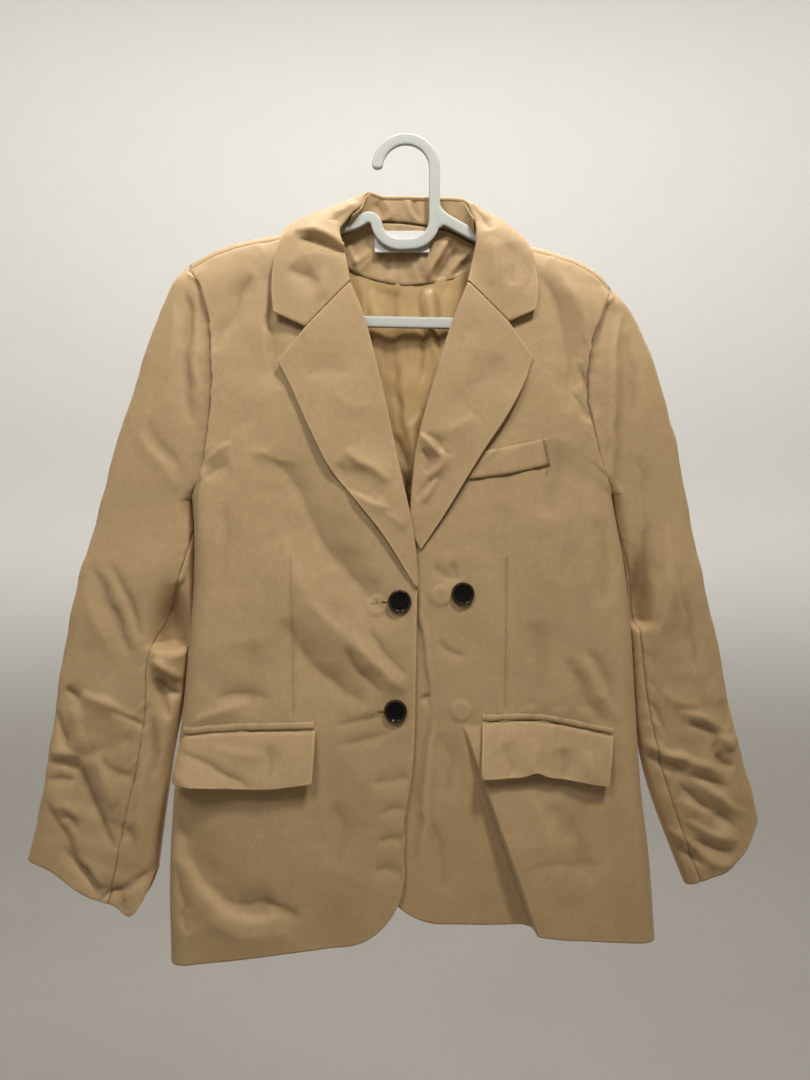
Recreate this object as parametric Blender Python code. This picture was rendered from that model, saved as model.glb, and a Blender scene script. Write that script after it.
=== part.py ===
"""Double-breasted blazer hung flat on a moulded clothes hanger.

Frame: +Z up, the wearer's front faces -Y, the wearer's left is +X. The origin is the point of the
hook that bears on a rod. Tables and sizes are in millimetres and become metres in the meshes.
Every cloth piece is a wall: a grid of points on its middle surface, moved out by half the cloth's
thickness on both sides and closed round its rim.
"""

import math

import bpy
import numpy as np

MM = 0.001

# Cloth
SHELL_CLOTH = 2.0
THIN_CLOTH = 1.2
SEAM_GAP = 0.3
LAYER = 2.6
OVERLAP_LIFT = 5.6

# Hanger
HOOK_RADIUS = 28.2
BAR_WIDTH = 11.0
BAR_THICKNESS = 5.0
HOOK_CENTRE_Z = BAR_WIDTH / 2 - HOOK_RADIUS
# The bar's middle line after the hook: x, z and the radius of each corner
HANGER_LOOP = (
    (28.2, -40, 0),
    (28.2, -97, 24),
    (-26, -99, 24),
    (-31, -66, 8),
    (-48, -77, 40),
    (-197, -123, 15),
    (-192, -171.5, 15),
    (186, -179, 15),
    (195, -147, 13),
    (64, -87.5, 40),
    (33.7, -71, 0),
)

# Buttons
BUTTON_RADIUS = 11.0
BUTTON_THICKNESS = 3.6

# Rounded bottom corners of the fronts
HEM_CORNER = 60.0

# Back neckline: how far it lies below the crest's own line, half its width, the width over which
# it turns into the shoulder seam, and the heights of the centre seam's ends
NECK_BACK_FALL = 26.0
NECK_HALF = 88.0
NECK_TURN = 30.0
NECK_COLUMNS_X = np.array([0, 34, 60, 70, 77, 84, 104, 138])
BACK_CENTRE_Z = (-86.0, -752.0)
BACK_ROW_GROWTH = 1.15
BACK_ROW_BEND = 1.5

# Body sections, a row for each height: depth of the front and of the back from the hanger's plane
BODY_DEPTH = {
    "z": (-800, -700, -600, -450, -350, -260, -180, -120, -60),
    "front": (32, 32, 31, 29, 28, 27, 24, 19, 15),
    "back": (20, 20, 19, 18, 17.5, 17, 16.5, 16, 15),
}
CREST_ROUND = 45.0
SHOULDER_SEAM_DROP = 8.0
SHOULDER_ROWS = 3
HEM_ROWS = 3
SIDE_ROUND = 26.0
SLEEVE_HEAD_ROUND = 70.0
ARMPIT_BLEND = (-300.0, -362.0)

# Shoulder crest from the right tip over the neck to the left tip
CREST = {
    "x": (-217, -186, -155, -120, -90, -70, 0, 70, 92, 112, 144, 175, 195, 204),
    "z": (-121, -105, -95.5, -89, -79, -72, -52, -79, -89, -98, -107, -119, -134, -146),
}

# Fronts: a row for each section from the shoulder seam to the hem, from front edge to side
FRONT_COLUMNS = ("edge_x", "edge_z", "side_x", "side_z")
FRONT_RIGHT = (
    (-72, -81, -212, -127),
    (-69, -102, -199, -147),
    (-62, -128, -191, -175),
    (-54, -146, -188, -208),
    (-42, -175, -187, -241),
    (-24, -240, -190, -282),
    (-11, -303, -197, -325),
    (-1, -350, -208, -350),
    (6, -385, -206, -382),
    (10, -424, -206, -420),
    (9, -497, -210, -480),
    (8, -560, -216, -545),
    (5, -630, -225, -630),
    (-1, -696, -229, -705),
    (-2, -768, -228, -796),
)
FRONT_LEFT = (
    (71, -88, 200, -149),
    (69, -110, 191, -169),
    (64, -130, 181, -192),
    (60, -147, 176, -219),
    (47, -178, 175, -249),
    (29, -237, 180, -282),
    (14, -292, 188, -316),
    (7, -337, 199, -345),
    (4, -385, 206, -380),
    (-11, -425, 213, -420),
    (-26, -490, 219, -482),
    (-28, -560, 223, -550),
    (-28, -630, 228, -630),
    (-28, -692, 236, -700),
    (-28, -754, 241, -777),
)
ARMPIT_ROW = 7
LAST_ROW = len(FRONT_RIGHT) - 1
# Rows of the grids down the armhole and below it, and the columns close to the side seam
OVER_CREST_ROWS = np.array([-1, -0.8, -0.6, -0.5, -0.4, -0.2])
ARMHOLE_ROWS = np.array([0, 0.4, 0.9, 1.4, 2, 3, 4, 5, 6, 7])
BODY_ROWS = np.array([7.5, 8, 9, 10, 11, 11.75, 12.5, 13, 13.5, 14])
SIDE_COLUMNS = np.array([0.84, 0.93, 0.98, 1])
# Gap between a sleeve and the armhole, with more of it at the shoulder and under the arm
ARMHOLE_GAP = 1.3
ARMHOLE_GAP_AT_ENDS = 1.0
# Turn of a sleeve piece's columns between its two seams, closer together beside them
TOP_SLEEVE_TURN = np.array([0, 0.025, 0.08, 0.18, 0.3, 0.42, 0.54, 0.66, 0.78, 0.89, 0.96, 1])
UNDER_SLEEVE_TURN = np.array([0, 0.06, 0.25, 0.5, 0.75, 0.94, 1])

# Deep fold in the left front, from below the last button to the hem
PLEAT_TOP = (55.7, -566.0)
PLEAT_FOOT = (127.6, -770.0)
PLEAT_HEIGHT = 15.0
PLEAT_SLOPE = 9.0
PLEAT_FADE = 75.0
PLEAT_COLUMN = 0.42
PLEAT_FIRST_ROW = 9.5
PLEAT_OPENS = 150.0

# Sleeves: a row for each section from the shoulder tip to the cuff. The inner ends of the rows
# down to the armpit are the armhole's own points, so their inner columns only hold its place.
SLEEVE_COLUMNS = (
    "outer_x", "outer_z", "inner_x", "inner_z", "front", "back", "seam_front", "seam_back",
)
SLEEVE_RIGHT = (
    (-214, -119.5, -212, -127, 9, 9, -1.00, -1.00),
    (-230, -141, -199, -147, 14, 12, -1.00, -1.00),
    (-243, -175, -191, -175, 18, 14, -1.00, -1.00),
    (-255, -208, -188, -208, 20, 15, -1.00, -1.00),
    (-266, -242, -187, -241, 21, 15, -1.00, -1.00),
    (-280, -285, -190, -282, 21, 15, -1.00, -1.00),
    (-293, -330, -197, -325, 20, 15, -1.00, -1.00),
    (-301, -362, -210, -352, 18, 14, -1.00, -0.98),
    (-310, -392, -210, -382, 18, 14, -0.98, -0.90),
    (-324, -443, -213, -430, 20, 14, -0.76, -0.60),
    (-336, -508, -217, -495, 19, 14, -0.43, -0.50),
    (-343, -560, -221, -545, 19, 14, -0.47, -0.50),
    (-349, -597, -229, -590, 18, 13, -0.51, -0.50),
    (-358, -650, -237, -650, 16, 12, -0.37, -0.50),
    (-371, -703, -245, -711, 13, 10, -0.29, -0.50),
)
SLEEVE_LEFT = (
    (202, -141, 200, -149, 9, 9, -1.00, -1.00),
    (220, -166, 191, -169, 12, 12, -1.00, -1.00),
    (232, -191, 181, -192, 16, 14, -1.00, -1.00),
    (243, -219, 176, -219, 19, 15, -1.00, -1.00),
    (252, -249, 175, -249, 20, 15, -1.00, -1.00),
    (262, -284, 180, -282, 20, 15, -1.00, -1.00),
    (269, -320, 188, -316, 19, 15, -1.00, -1.00),
    (276, -354, 202, -348, 18, 14, -1.00, -0.98),
    (283, -392, 212, -382, 18, 14, -0.98, -0.90),
    (292, -436, 220, -430, 20, 14, -0.97, -0.60),
    (303, -483, 224, -480, 19, 14, -0.96, -0.50),
    (312, -530, 227, -530, 19, 14, -0.95, -0.50),
    (322, -575, 231, -580, 18, 13, -0.75, -0.50),
    (334, -618, 245, -640, 16, 12, -0.69, -0.50),
    (345, -662, 275, -727, 13, 10, -0.67, -0.50),
)
SLEEVE_ROUND = 2.3
SLEEVE_HEAD_REACH = 0.35
ARMPIT_ROWS = 0.5
CUFF_ROWS = 2.5

# Cuff edges: how far the edge hangs below the last section's own line, from inner to outer
CUFF_Q = (-1.0, -0.67, -0.1, 0.4, 0.75, 1.0)
CUFF_RIGHT = {"front": (0, 17, 34, 24, 11, 0), "back": (0, 42, 37, 25, 12, 0)}
CUFF_LEFT = {"front": (0, 6, 17, 20, 13, 0), "back": (0, 3, 10, 12, 8, 0)}

# Dents between the sleeves and the fronts, under the arms
UNDERARM_DENTS = {
    -1: {"x": -224, "z": -462, "across": 20, "along": 46, "depth": 15},
    1: {"x": 232, "z": -438, "across": 15, "along": 44, "depth": 13},
}

# Lapels: a row for each section from the gorge to the break, from the roll line to the edge
LAPEL_COLUMNS = ("roll_x", "roll_z", "edge_x", "edge_z")
LAPEL_RIGHT = (
    (-54, -146, -122, -220),
    (-42, -175, -109, -245),
    (-30, -220, -92, -283),
    (-17, -276, -72, -322),
    (-5, -334, -46, -354),
    (5, -381, -20, -387),
    (10.5, -424, 7, -424),
)
LAPEL_LEFT = (
    (60, -147, 121, -216),
    (47, -178, 110, -245),
    (36, -211, 93, -276),
    (23, -256, 76, -301),
    (12, -298, 58, -330),
    (7, -340, 36, -366),
    (4, -381, 14, -399),
)
NOTCH_RIGHT = (-95, -190)
NOTCH_LEFT = (97, -186)
NOTCH_AT = 0.60

# Collar: a row for each section from the right gorge round the neck to the left gorge
COLLAR_COLUMNS = ("roll_x", "roll_y", "roll_z", "edge_x", "edge_y", "edge_z")
COLLAR = (
    (-55, -26.5, -143, -126, -31, -173),
    (-61, -23, -110, -128, -29, -150),
    (-65, -18, -91, -126, -26, -122),
    (-58, -12, -76, -119, -20, -97),
    (-46, -5, -62, -112, -2, -79),
    (-39, 3, -46, -98, 18, -90),
    (-22, 9.5, -48, -56, 22, -112),
    (0, 10.5, -48, 0, 23, -118),
    (30, 10, -49, 60, 22, -116),
    (57, 3, -53, 96, 18, -98),
    (64, -5, -66, 106, -2, -87),
    (69, -13, -81, 119, -19, -107),
    (69, -20.5, -101, 124, -24, -128),
    (65, -22, -122, 126, -28, -150),
    (61, -26.5, -143, 123, -30, -171),
)
COLLAR_ENDS = ((-96, -31, -187), (98, -30, -182))
COLLAR_BULGE = 5.0
STAND_ROWS = (5.1, 8.9)
STAND_FOOT = (
    (-44, 7, -74),
    (-34, 8.2, -72),
    (-10, 8.6, -71),
    (18, 8.6, -75),
    (38, 8.2, -79),
    (50, 7, -84),
)

# Back neck facing: a row for each section across the neck
FACING_COLUMNS = ("x", "top_z", "bottom_z")
FACING = (
    (-80, -97, -108),
    (-56, -83, -121),
    (-36, -75.5, -129),
    (-8, -74.5, -135),
    (20, -78.5, -134),
    (42, -83, -130),
    (63, -93, -122),
    (84, -103, -112),
)
FACING_DEPTH = 9.8
LINING_FOOT_Z = -470.0
LINING_HALF_WIDTH = 86.0
LINING_DEPTH = (11.6, 13.5)
LABEL = {"x": (-31, 23), "z": (-82, -105)}

# Pockets, as corners of the piece on its panel: x and z at the top and the bottom of each end
POCKETS = {
    "jet_right": {"top": ((-204, -568), (-168, -564), (-88, -562)),
                  "bottom": ((-204, -574.5), (-168, -571), (-88, -569.5)), "stand": (0.4, 0.4)},
    "flap_right": {"top": ((-214, -577), (-172, -573.5), (-86, -572)),
                   "bottom": ((-218, -619), (-140, -623), (-88, -618)), "stand": (0.8, 11.0)},
    "jet_left": {"top": ((73, -555), (128, -555), (196, -568)),
                 "bottom": ((73, -562), (128, -561.5), (196, -574.5)), "stand": (0.2, 0.2)},
    "flap_left": {"top": ((72.5, -564.5), (128, -564), (196, -577)),
                  "bottom": ((70, -612), (128, -611), (190, -621)), "stand": (0.8, 8.0)},
    "chest_welt": {"top": ((81, -303.5), (106, -299), (133, -292)),
                   "bottom": ((64.5, -331), (100, -327), (138, -318)), "stand": (0.2, 0.2)},
}

# Buttons: x and z of the centre, and how many layers of cloth lie under it
BUTTONS = {
    "button_upper_right": (-6, -448, OVERLAP_LIFT),
    "button_lower_right": (-10, -551, OVERLAP_LIFT),
    "button_upper_left": (54, -441, 0.0),
}
BUTTON_STANDOFF = 3.4

COLOURS = {
    "shell": (0.43, 0.29, 0.16),
    "lining": (0.42, 0.26, 0.11),
    "label": (0.80, 0.79, 0.76),
    "horn": (0.012, 0.012, 0.014),
    "plastic": (0.72, 0.75, 0.71),
}


def clear_scene():
    """Removes every object that the file holds."""
    for item in list(bpy.data.objects):
        bpy.data.objects.remove(item, do_unlink=True)


def finish(name, slot, roughness):
    """A Principled material of its own for one sub-part."""
    material = bpy.data.materials.new(name)
    material.use_nodes = True
    shader = material.node_tree.nodes["Principled BSDF"]
    shader.inputs["Base Color"].default_value = (*COLOURS[slot], 1.0)
    shader.inputs["Roughness"].default_value = roughness
    shader.inputs["Metallic"].default_value = 0.0
    return material


def add_mesh(name, points, faces, slot, roughness):
    """One object from points in millimetres and faces that point out."""
    mesh = bpy.data.meshes.new(name)
    mesh.from_pydata((np.asarray(points) * MM).tolist(), [], faces)
    mesh.materials.append(finish(name, slot, roughness))
    mesh.shade_smooth()
    mesh.set_sharp_from_angle(angle=math.radians(50))
    piece = bpy.data.objects.new(name, mesh)
    bpy.context.scene.collection.objects.link(piece)
    return piece


def smooth_rows(table, at):
    """Rows of a table at fractional row numbers, on a cubic through the table's own rows."""
    table = np.asarray(table, float)
    at = np.clip(np.asarray(at, float), 0, len(table) - 1)
    slope = np.gradient(table, axis=0)
    low = np.minimum(at.astype(int), len(table) - 2)
    t = (at - low)[..., None]
    a, b = table[low], table[low + 1]
    return (
        (2 * t**3 - 3 * t**2 + 1) * a
        + (t**3 - 2 * t**2 + t) * slope[low]
        + (3 * t**2 - 2 * t**3) * b
        + (t**3 - t**2) * slope[low + 1]
    )


def smooth_between(x, xs, ys):
    """A cubic through a table's points, at any x."""
    xs = np.asarray(xs, float)
    place = np.interp(x, xs, np.arange(len(xs)))
    knots = np.column_stack([xs, np.asarray(ys, float)])
    low = np.minimum(place.astype(int), len(xs) - 2)
    slope = np.gradient(knots[:, 1], knots[:, 0])
    width = xs[low + 1] - xs[low]
    t = (np.clip(x, xs[0], xs[-1]) - xs[low]) / width
    return (
        (2 * t**3 - 3 * t**2 + 1) * knots[low, 1]
        + (t**3 - 2 * t**2 + t) * width * slope[low]
        + (3 * t**2 - 2 * t**3) * knots[low + 1, 1]
        + (t**3 - t**2) * width * slope[low + 1]
    )


def ease(t):
    """0 below 0, 1 above 1, smooth between."""
    t = np.clip(t, 0, 1)
    return t * t * (3 - 2 * t)


def round_off(distance, radius, power):
    """Superellipse quarter: 0 at an outline, 1 from the radius inwards."""
    reach = 1 - np.clip(distance / radius, 0, 1)
    return (1 - reach**power) ** (1 / power)


def outline_x(rows, column, z):
    """Distance from the centre of one table column at the height z."""
    rows = np.asarray(rows, float)[::-1]
    return np.interp(z, rows[:, column + 1], np.abs(rows[:, column]))


def body_round(x, z):
    """How full the body is at a place: 0 on its outline, 1 inside."""
    on_right = x < 0
    head = np.where(on_right, outline_x(SLEEVE_RIGHT, 0, z), outline_x(SLEEVE_LEFT, 0, z))
    side = np.where(
        on_right,
        outline_x(FRONT_RIGHT[ARMPIT_ROW:], 2, z),
        outline_x(FRONT_LEFT[ARMPIT_ROW:], 2, z),
    )
    above = round_off(head - np.abs(x), SLEEVE_HEAD_ROUND, 2.5)
    below = round_off(side - np.abs(x), SIDE_ROUND, 2.6)
    low, high = ARMPIT_BLEND
    mix = ease((low - z) / (low - high))
    return above * (1 - mix) + below * mix


def shoulder_crest(x):
    """Height of the shoulder's top line."""
    return smooth_between(x, CREST["x"], CREST["z"])


def front_depth(x, z):
    """How far the middle of the front cloth stands in front of the hanger's plane."""
    full = smooth_between(z, BODY_DEPTH["z"], BODY_DEPTH["front"])
    return full * round_off(shoulder_crest(x) - z, CREST_ROUND, 2) * body_round(x, z)


def back_depth(x, z):
    """How far the middle of the back cloth stands behind the hanger's plane."""
    full = smooth_between(z, BODY_DEPTH["z"], BODY_DEPTH["back"])
    return full * round_off(shoulder_crest(x) - z, CREST_ROUND, 2) * body_round(x, z)


def overlap_lift(x, z):
    """How far the right front is lifted where it laps over the left one."""
    return OVERLAP_LIFT * ease((x + 75) / 45) * ease((-285 - z) / 70)


def pleat_line(z):
    """The fold's edge in the left front at the height z."""
    along = (z - PLEAT_TOP[1]) / (PLEAT_FOOT[1] - PLEAT_TOP[1])
    return PLEAT_TOP[0] + np.clip(along, 0, 1) * (PLEAT_FOOT[0] - PLEAT_TOP[0])


def pleat_lift(x, z):
    """The deep fold: a steep rise on its inner side that fades out towards the side seam."""
    grow = ease((PLEAT_TOP[1] - z) / PLEAT_OPENS)
    beyond = x - pleat_line(z)
    rise = ease((beyond + PLEAT_SLOPE) / PLEAT_SLOPE)
    fade = np.exp(-((np.maximum(beyond, 0) / PLEAT_FADE) ** 2))
    return PLEAT_HEIGHT * grow * rise * fade


def hem_rise(from_edge):
    """How far the rounded bottom corner lifts the hem near the front edge."""
    reach = 1 - np.clip(from_edge / HEM_CORNER, 0, 1)
    return HEM_CORNER * (1 - np.sqrt(1 - reach**2))


def columns(names, values):
    """The columns of a table's rows, by their names."""
    return {name: values[..., k] for k, name in enumerate(names)}


def grid(across, down):
    """Column and row numbers as two arrays of the grid's shape."""
    return np.meshgrid(across, down)


def front_outline(rows, u, v, warped):
    """Place of a front's point in the flat: u from front edge to side, v in rows."""
    row = columns(FRONT_COLUMNS, smooth_rows(rows, v))
    edge_x, edge_z = row["edge_x"], row["edge_z"]
    if warped:
        z_guess = edge_z + (row["side_z"] - edge_z) * u
        fold = (pleat_line(z_guess) - edge_x) / (row["side_x"] - edge_x)
        fold = PLEAT_COLUMN + (fold - PLEAT_COLUMN) * ease((v - PLEAT_FIRST_ROW) / 2)
        inner = u / PLEAT_COLUMN * fold
        outer = fold + (u - PLEAT_COLUMN) / (1 - PLEAT_COLUMN) * (1 - fold)
        u = np.where(u < PLEAT_COLUMN, inner, outer)
    x = edge_x + (row["side_x"] - edge_x) * u
    z = edge_z + (row["side_z"] - edge_z) * u
    top = columns(FRONT_COLUMNS, np.array(rows[0], float))
    top_x = top["edge_x"] + (top["side_x"] - top["edge_x"]) * u
    seam_z = shoulder_crest(top_x) - SHOULDER_SEAM_DROP - SEAM_GAP
    bow = seam_z - (top["edge_z"] + (top["side_z"] - top["edge_z"]) * u)
    z = z + bow * (1 - ease(v / SHOULDER_ROWS))
    bend = ease((v - (LAST_ROW - HEM_ROWS)) / HEM_ROWS)
    return x, z + hem_rise(np.abs(x - edge_x)) * bend


def front_panel(rows, u, v, is_right):
    """Middle surface of a front: its outline at the body's depth, with its lap or its fold."""
    x, z = front_outline(rows, u, v, not is_right)
    lift = overlap_lift(x, z) if is_right else pleat_lift(x, z)
    return np.stack([x, -(front_depth(x, z) + lift + SEAM_GAP), z], axis=-1)


def back_panel(rows, u, v, sign):
    """Middle surface of a back half: u from the centre seam to the side, v in the fronts' rows.

    From v = -1 to 0 the sheet runs over the shoulder crest from the shoulder seam on its front
    side, so the fall below the crest is signed: negative in front of it, positive behind it.
    """
    row = columns(FRONT_COLUMNS, smooth_rows(rows, v))
    down = np.maximum(v, 0) / LAST_ROW
    centre_z = BACK_CENTRE_Z[0] + (BACK_CENTRE_Z[1] - BACK_CENTRE_Z[0]) * down**BACK_ROW_GROWTH
    centre_x = sign * SEAM_GAP
    x = centre_x + (row["side_x"] - centre_x) * u
    crest = shoulder_crest(x)
    level = crest - (centre_z + (row["side_z"] - centre_z) * u**BACK_ROW_BEND)
    over = SHOULDER_SEAM_DROP * (2 * np.clip(v + 1, 0, 1) - 1)
    top = over + NECK_BACK_FALL * ease((NECK_HALF - np.abs(x)) / NECK_TURN)
    fall = top + (level - top) * ease(v / (SHOULDER_ROWS * (1 - u) + ARMHOLE_ROWS[1]))
    depth = back_depth(x, crest - np.abs(fall))
    return np.stack([x, np.sign(fall) * depth + SEAM_GAP, crest - np.abs(fall)], axis=-1)


def sleeve_rows(sign, v):
    """A sleeve's table rows at fractional row numbers, by column."""
    return columns(SLEEVE_COLUMNS, smooth_rows(SLEEVE_RIGHT if sign < 0 else SLEEVE_LEFT, v))


def underarm_dent(x, z, sign):
    """Depth of the hollow that the sleeve's inner half falls into beside the front."""
    dent = UNDERARM_DENTS[sign]
    reach = ((x - dent["x"]) / dent["across"]) ** 2 + ((z - dent["z"]) / dent["along"]) ** 2
    return dent["depth"] * np.exp(-reach)


def sleeve_surface(sign, angle, v):
    """Middle surface of a sleeve.

    The angle turns from the front (negative) over the outer edge (0) to the back (positive), and
    its cosine is the place across the section, from -1 at the inner edge to 1 at the outer one.
    Down to the armpit a section is an arch that stands on the armhole's two edges, and below it a
    closed superellipse.
    """
    fronts = FRONT_RIGHT if sign < 0 else FRONT_LEFT
    row = sleeve_rows(sign, v)
    q = np.cos(angle)
    reach = (q + 1) / 2
    is_front = angle < 0
    side = np.where(is_front, -1.0, 1.0)
    ones = np.ones_like(v * angle)
    arm_v = np.minimum(v, ARMPIT_ROW) * ones
    armhole = np.where(
        is_front[..., None],
        front_panel(fronts, ones, arm_v, sign < 0),
        back_panel(fronts, ones, arm_v, sign),
    )
    closed = ease((v - ARMPIT_ROW) / ARMPIT_ROWS)
    ends = 1 - ease(v) + ease(v - ARMPIT_ROW + 1) - closed
    gap = ARMHOLE_GAP * (1 - closed) + ARMHOLE_GAP_AT_ENDS * ends
    inner_x = armhole[..., 0] + sign * gap + (row["inner_x"] - armhole[..., 0] - sign * gap) * closed
    inner_z = armhole[..., 2] + (row["inner_z"] - armhole[..., 2]) * closed
    x = inner_x + (row["outer_x"] - inner_x) * reach
    z = inner_z + (row["outer_z"] - inner_z) * reach
    full = np.where(is_front, row["front"], row["back"])
    seat = armhole[..., 1] * side
    arch = (1 - reach**SLEEVE_ROUND) ** (1 / SLEEVE_ROUND)
    arch = arch * (seat + (full - seat) * round_off(reach, SLEEVE_HEAD_REACH, 2))
    ring = (1 - np.abs(q) ** SLEEVE_ROUND) ** (1 / SLEEVE_ROUND)
    dent = underarm_dent(x, z, sign) * is_front * closed * ring
    y = side * (arch + (full * ring - arch) * closed) + dent
    cuff = CUFF_RIGHT if sign < 0 else CUFF_LEFT
    drop = np.where(is_front, np.interp(q, CUFF_Q, cuff["front"]), np.interp(q, CUFF_Q, cuff["back"]))
    z = z - drop * ease((v - (LAST_ROW - CUFF_ROWS)) / CUFF_ROWS)
    return np.stack([x, y, z], axis=-1)


def seam_angles(sign, v):
    """Angles of the front and the back seam of a two-piece sleeve at the rows v."""
    row = sleeve_rows(sign, v)
    front = -np.arccos(np.clip(row["seam_front"], -1, 1))
    back = np.arccos(np.clip(row["seam_back"], -1, 1))
    return front, back


def seam_gap_angle(sign, angle, v):
    """The turn that stands for one seam gap along the sleeve's section at an angle."""
    step = 0.02
    ahead = sleeve_surface(sign, angle + step * np.sign(-angle), v)
    here = sleeve_surface(sign, angle, v)
    speed = np.linalg.norm(ahead - here, axis=-1) / step
    return SEAM_GAP / np.maximum(speed, SEAM_GAP / step)


def wall(name, middle, thickness, slot="shell", roughness=0.75):
    """A closed wall round a grid of middle points, half its thickness on each side."""
    down = np.gradient(middle, axis=0)
    across = np.gradient(middle, axis=1)
    normal = np.cross(across, down)
    normal /= np.linalg.norm(normal, axis=-1, keepdims=True)
    points = np.concatenate([
        (middle + normal * thickness / 2).reshape(-1, 3),
        (middle - normal * thickness / 2).reshape(-1, 3),
    ])
    rows, columns = middle.shape[:2]
    number = np.arange(rows * columns).reshape(rows, columns)
    quads = np.stack([number[:-1, :-1], number[:-1, 1:], number[1:, 1:], number[1:, :-1]], axis=-1)
    outer = quads.reshape(-1, 4)
    inner = outer[:, ::-1] + rows * columns
    rim = np.concatenate([number[0, :], number[1:, -1], number[-1, -2::-1], number[-2:0:-1, 0]])
    after = np.roll(rim, -1)
    band = np.column_stack([rim, rim + rows * columns, after + rows * columns, after])
    faces = np.concatenate([outer, inner, band]).tolist()
    return add_mesh(name, points, faces, slot, roughness)


def make_fronts():
    """Two fronts, the right one over the left."""
    rows = np.concatenate([ARMHOLE_ROWS, BODY_ROWS])
    right = np.concatenate([[0, 0.02, 0.06, 0.12, 0.22, 0.38, 0.55, 0.7], SIDE_COLUMNS])
    wall("front_right", front_panel(FRONT_RIGHT, *grid(right, rows), True), SHELL_CLOTH)
    fold = np.array([-0.045, -0.01, 0.012, 0.05]) + PLEAT_COLUMN
    left = np.concatenate([[0, 0.06, 0.14, 0.26], fold, [0.57, 0.7], SIDE_COLUMNS])
    panel = front_panel(FRONT_LEFT, *grid(left, rows), False)
    wall("front_left", panel[:, ::-1], SHELL_CLOTH)


def make_backs():
    """Two back halves, joined at the centre back."""
    rows = np.concatenate([OVER_CREST_ROWS, ARMHOLE_ROWS, BODY_ROWS])
    for name, fronts, sign in (("back_right", FRONT_RIGHT, -1), ("back_left", FRONT_LEFT, 1)):
        shoulder = abs(columns(FRONT_COLUMNS, np.array(fronts[0], float))["side_x"])
        across = np.concatenate([NECK_COLUMNS_X / shoulder, SIDE_COLUMNS])
        panel = back_panel(fronts, *grid(across, rows), sign)
        wall(name, panel if sign > 0 else panel[:, ::-1], SHELL_CLOTH)


def sleeve_grid(sign, start, end, v, turn):
    """A sleeve piece's grid between two angles at the rows v."""
    angle = start[:, None] + (end - start)[:, None] * turn[None, :]
    angle = np.where(angle > math.pi, angle - 2 * math.pi, angle)
    return sleeve_surface(sign, angle, np.repeat(v[:, None], len(turn), axis=1))


def make_sleeves():
    """Two two-piece sleeves: the top sleeve with the sleeve head, and the under sleeve."""
    lower = BODY_ROWS[0] + (LAST_ROW - BODY_ROWS[0]) * np.linspace(0, 1, 11)
    for side, sign in (("right", -1), ("left", 1)):
        for piece, v in (("top", np.concatenate([ARMHOLE_ROWS, lower])), ("under", lower)):
            front, back = seam_angles(sign, v)
            front_gap = seam_gap_angle(sign, front, v)
            back_gap = seam_gap_angle(sign, back, v)
            if piece == "top":
                points = sleeve_grid(sign, front + front_gap, back - back_gap, v, TOP_SLEEVE_TURN)
            else:
                past = front + 2 * math.pi - front_gap
                points = sleeve_grid(sign, back + back_gap, past, v, UNDER_SLEEVE_TURN)
            wall(f"sleeve_{piece}_{side}", points if sign < 0 else points[:, ::-1], SHELL_CLOTH)


def notched_row(roll, notch, tip, across):
    """A piece's top row: from the roll line to the notch, then on to its corner."""
    u = across / NOTCH_AT
    inner = roll + (notch - roll) * np.minimum(u, 1)[:, None]
    outer = (tip - notch) * np.maximum((across - NOTCH_AT) / (1 - NOTCH_AT), 0)[:, None]
    return inner + outer


def make_lapels():
    """The turned lapels, which lie on the fronts."""
    across = np.linspace(0, 1, 6)
    rows = np.linspace(0, len(LAPEL_RIGHT) - 1, 13)
    for side, table, notch in (("right", LAPEL_RIGHT, NOTCH_RIGHT), ("left", LAPEL_LEFT, NOTCH_LEFT)):
        row = columns(LAPEL_COLUMNS, smooth_rows(table, rows))
        roll = np.column_stack([row["roll_x"], row["roll_z"]])
        edge = np.column_stack([row["edge_x"], row["edge_z"]])
        flat = roll[:, None] + (edge - roll)[:, None] * across[None, :, None]
        top = notched_row(roll[0], np.array(notch, float), edge[0], across)
        straight = flat[0].copy()
        for k in range(4):
            flat[k] += (top - straight) * (1 - k / 4)
        x, z = flat[..., 0], flat[..., 1]
        lift = overlap_lift(x, z) if side == "right" else 0.0
        stand = LAYER + 2.0 * across[None, :] * (1 - rows / rows[-1])[:, None]
        panel = np.stack([x, -(front_depth(x, z) + lift + stand), z], axis=-1)
        wall(f"lapel_{side}", panel if side == "left" else panel[:, ::-1], THIN_CLOTH)


def collar_rows(v):
    """Roll line and outer edge of the collar at fractional row numbers."""
    row = columns(COLLAR_COLUMNS, smooth_rows(COLLAR, v))
    roll = np.column_stack([row["roll_x"], row["roll_y"], row["roll_z"]])
    edge = np.column_stack([row["edge_x"], row["edge_y"], row["edge_z"]])
    return roll, edge


def make_collar():
    """The collar's fall, from the roll line to its outer edge, and its stand inside."""
    v = np.linspace(0, len(COLLAR) - 1, 31)
    roll, edge = collar_rows(v)
    across = np.linspace(0, 1, 6)
    fall = roll[:, None] + (edge - roll)[:, None] * across[None, :, None]
    normal = np.cross(np.gradient(fall, axis=0), np.gradient(fall, axis=1))
    normal /= np.linalg.norm(normal, axis=-1, keepdims=True)
    bulge = COLLAR_BULGE * np.sin(math.pi * across**0.8)
    fall = fall + normal * bulge[None, :, None]
    for end, row in ((0, 0), (1, len(v) - 1)):
        corner = edge[row]
        notch = np.array(COLLAR_ENDS[end], float)
        fall[row] = notched_row(roll[row], notch, corner, across)
    wall("collar_fall", fall, SHELL_CLOTH)
    v = np.linspace(*STAND_ROWS, 13)
    roll, edge = collar_rows(v)
    foot = smooth_rows(STAND_FOOT, np.linspace(0, len(STAND_FOOT) - 1, 13))
    top = roll + np.array([0, -0.6, -3.0])
    down = np.linspace(0, 1, 4)
    stand = top[:, None] + (foot - top)[:, None] * down[None, :, None]
    wall("collar_stand", stand[:, ::-1], THIN_CLOTH)


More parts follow.
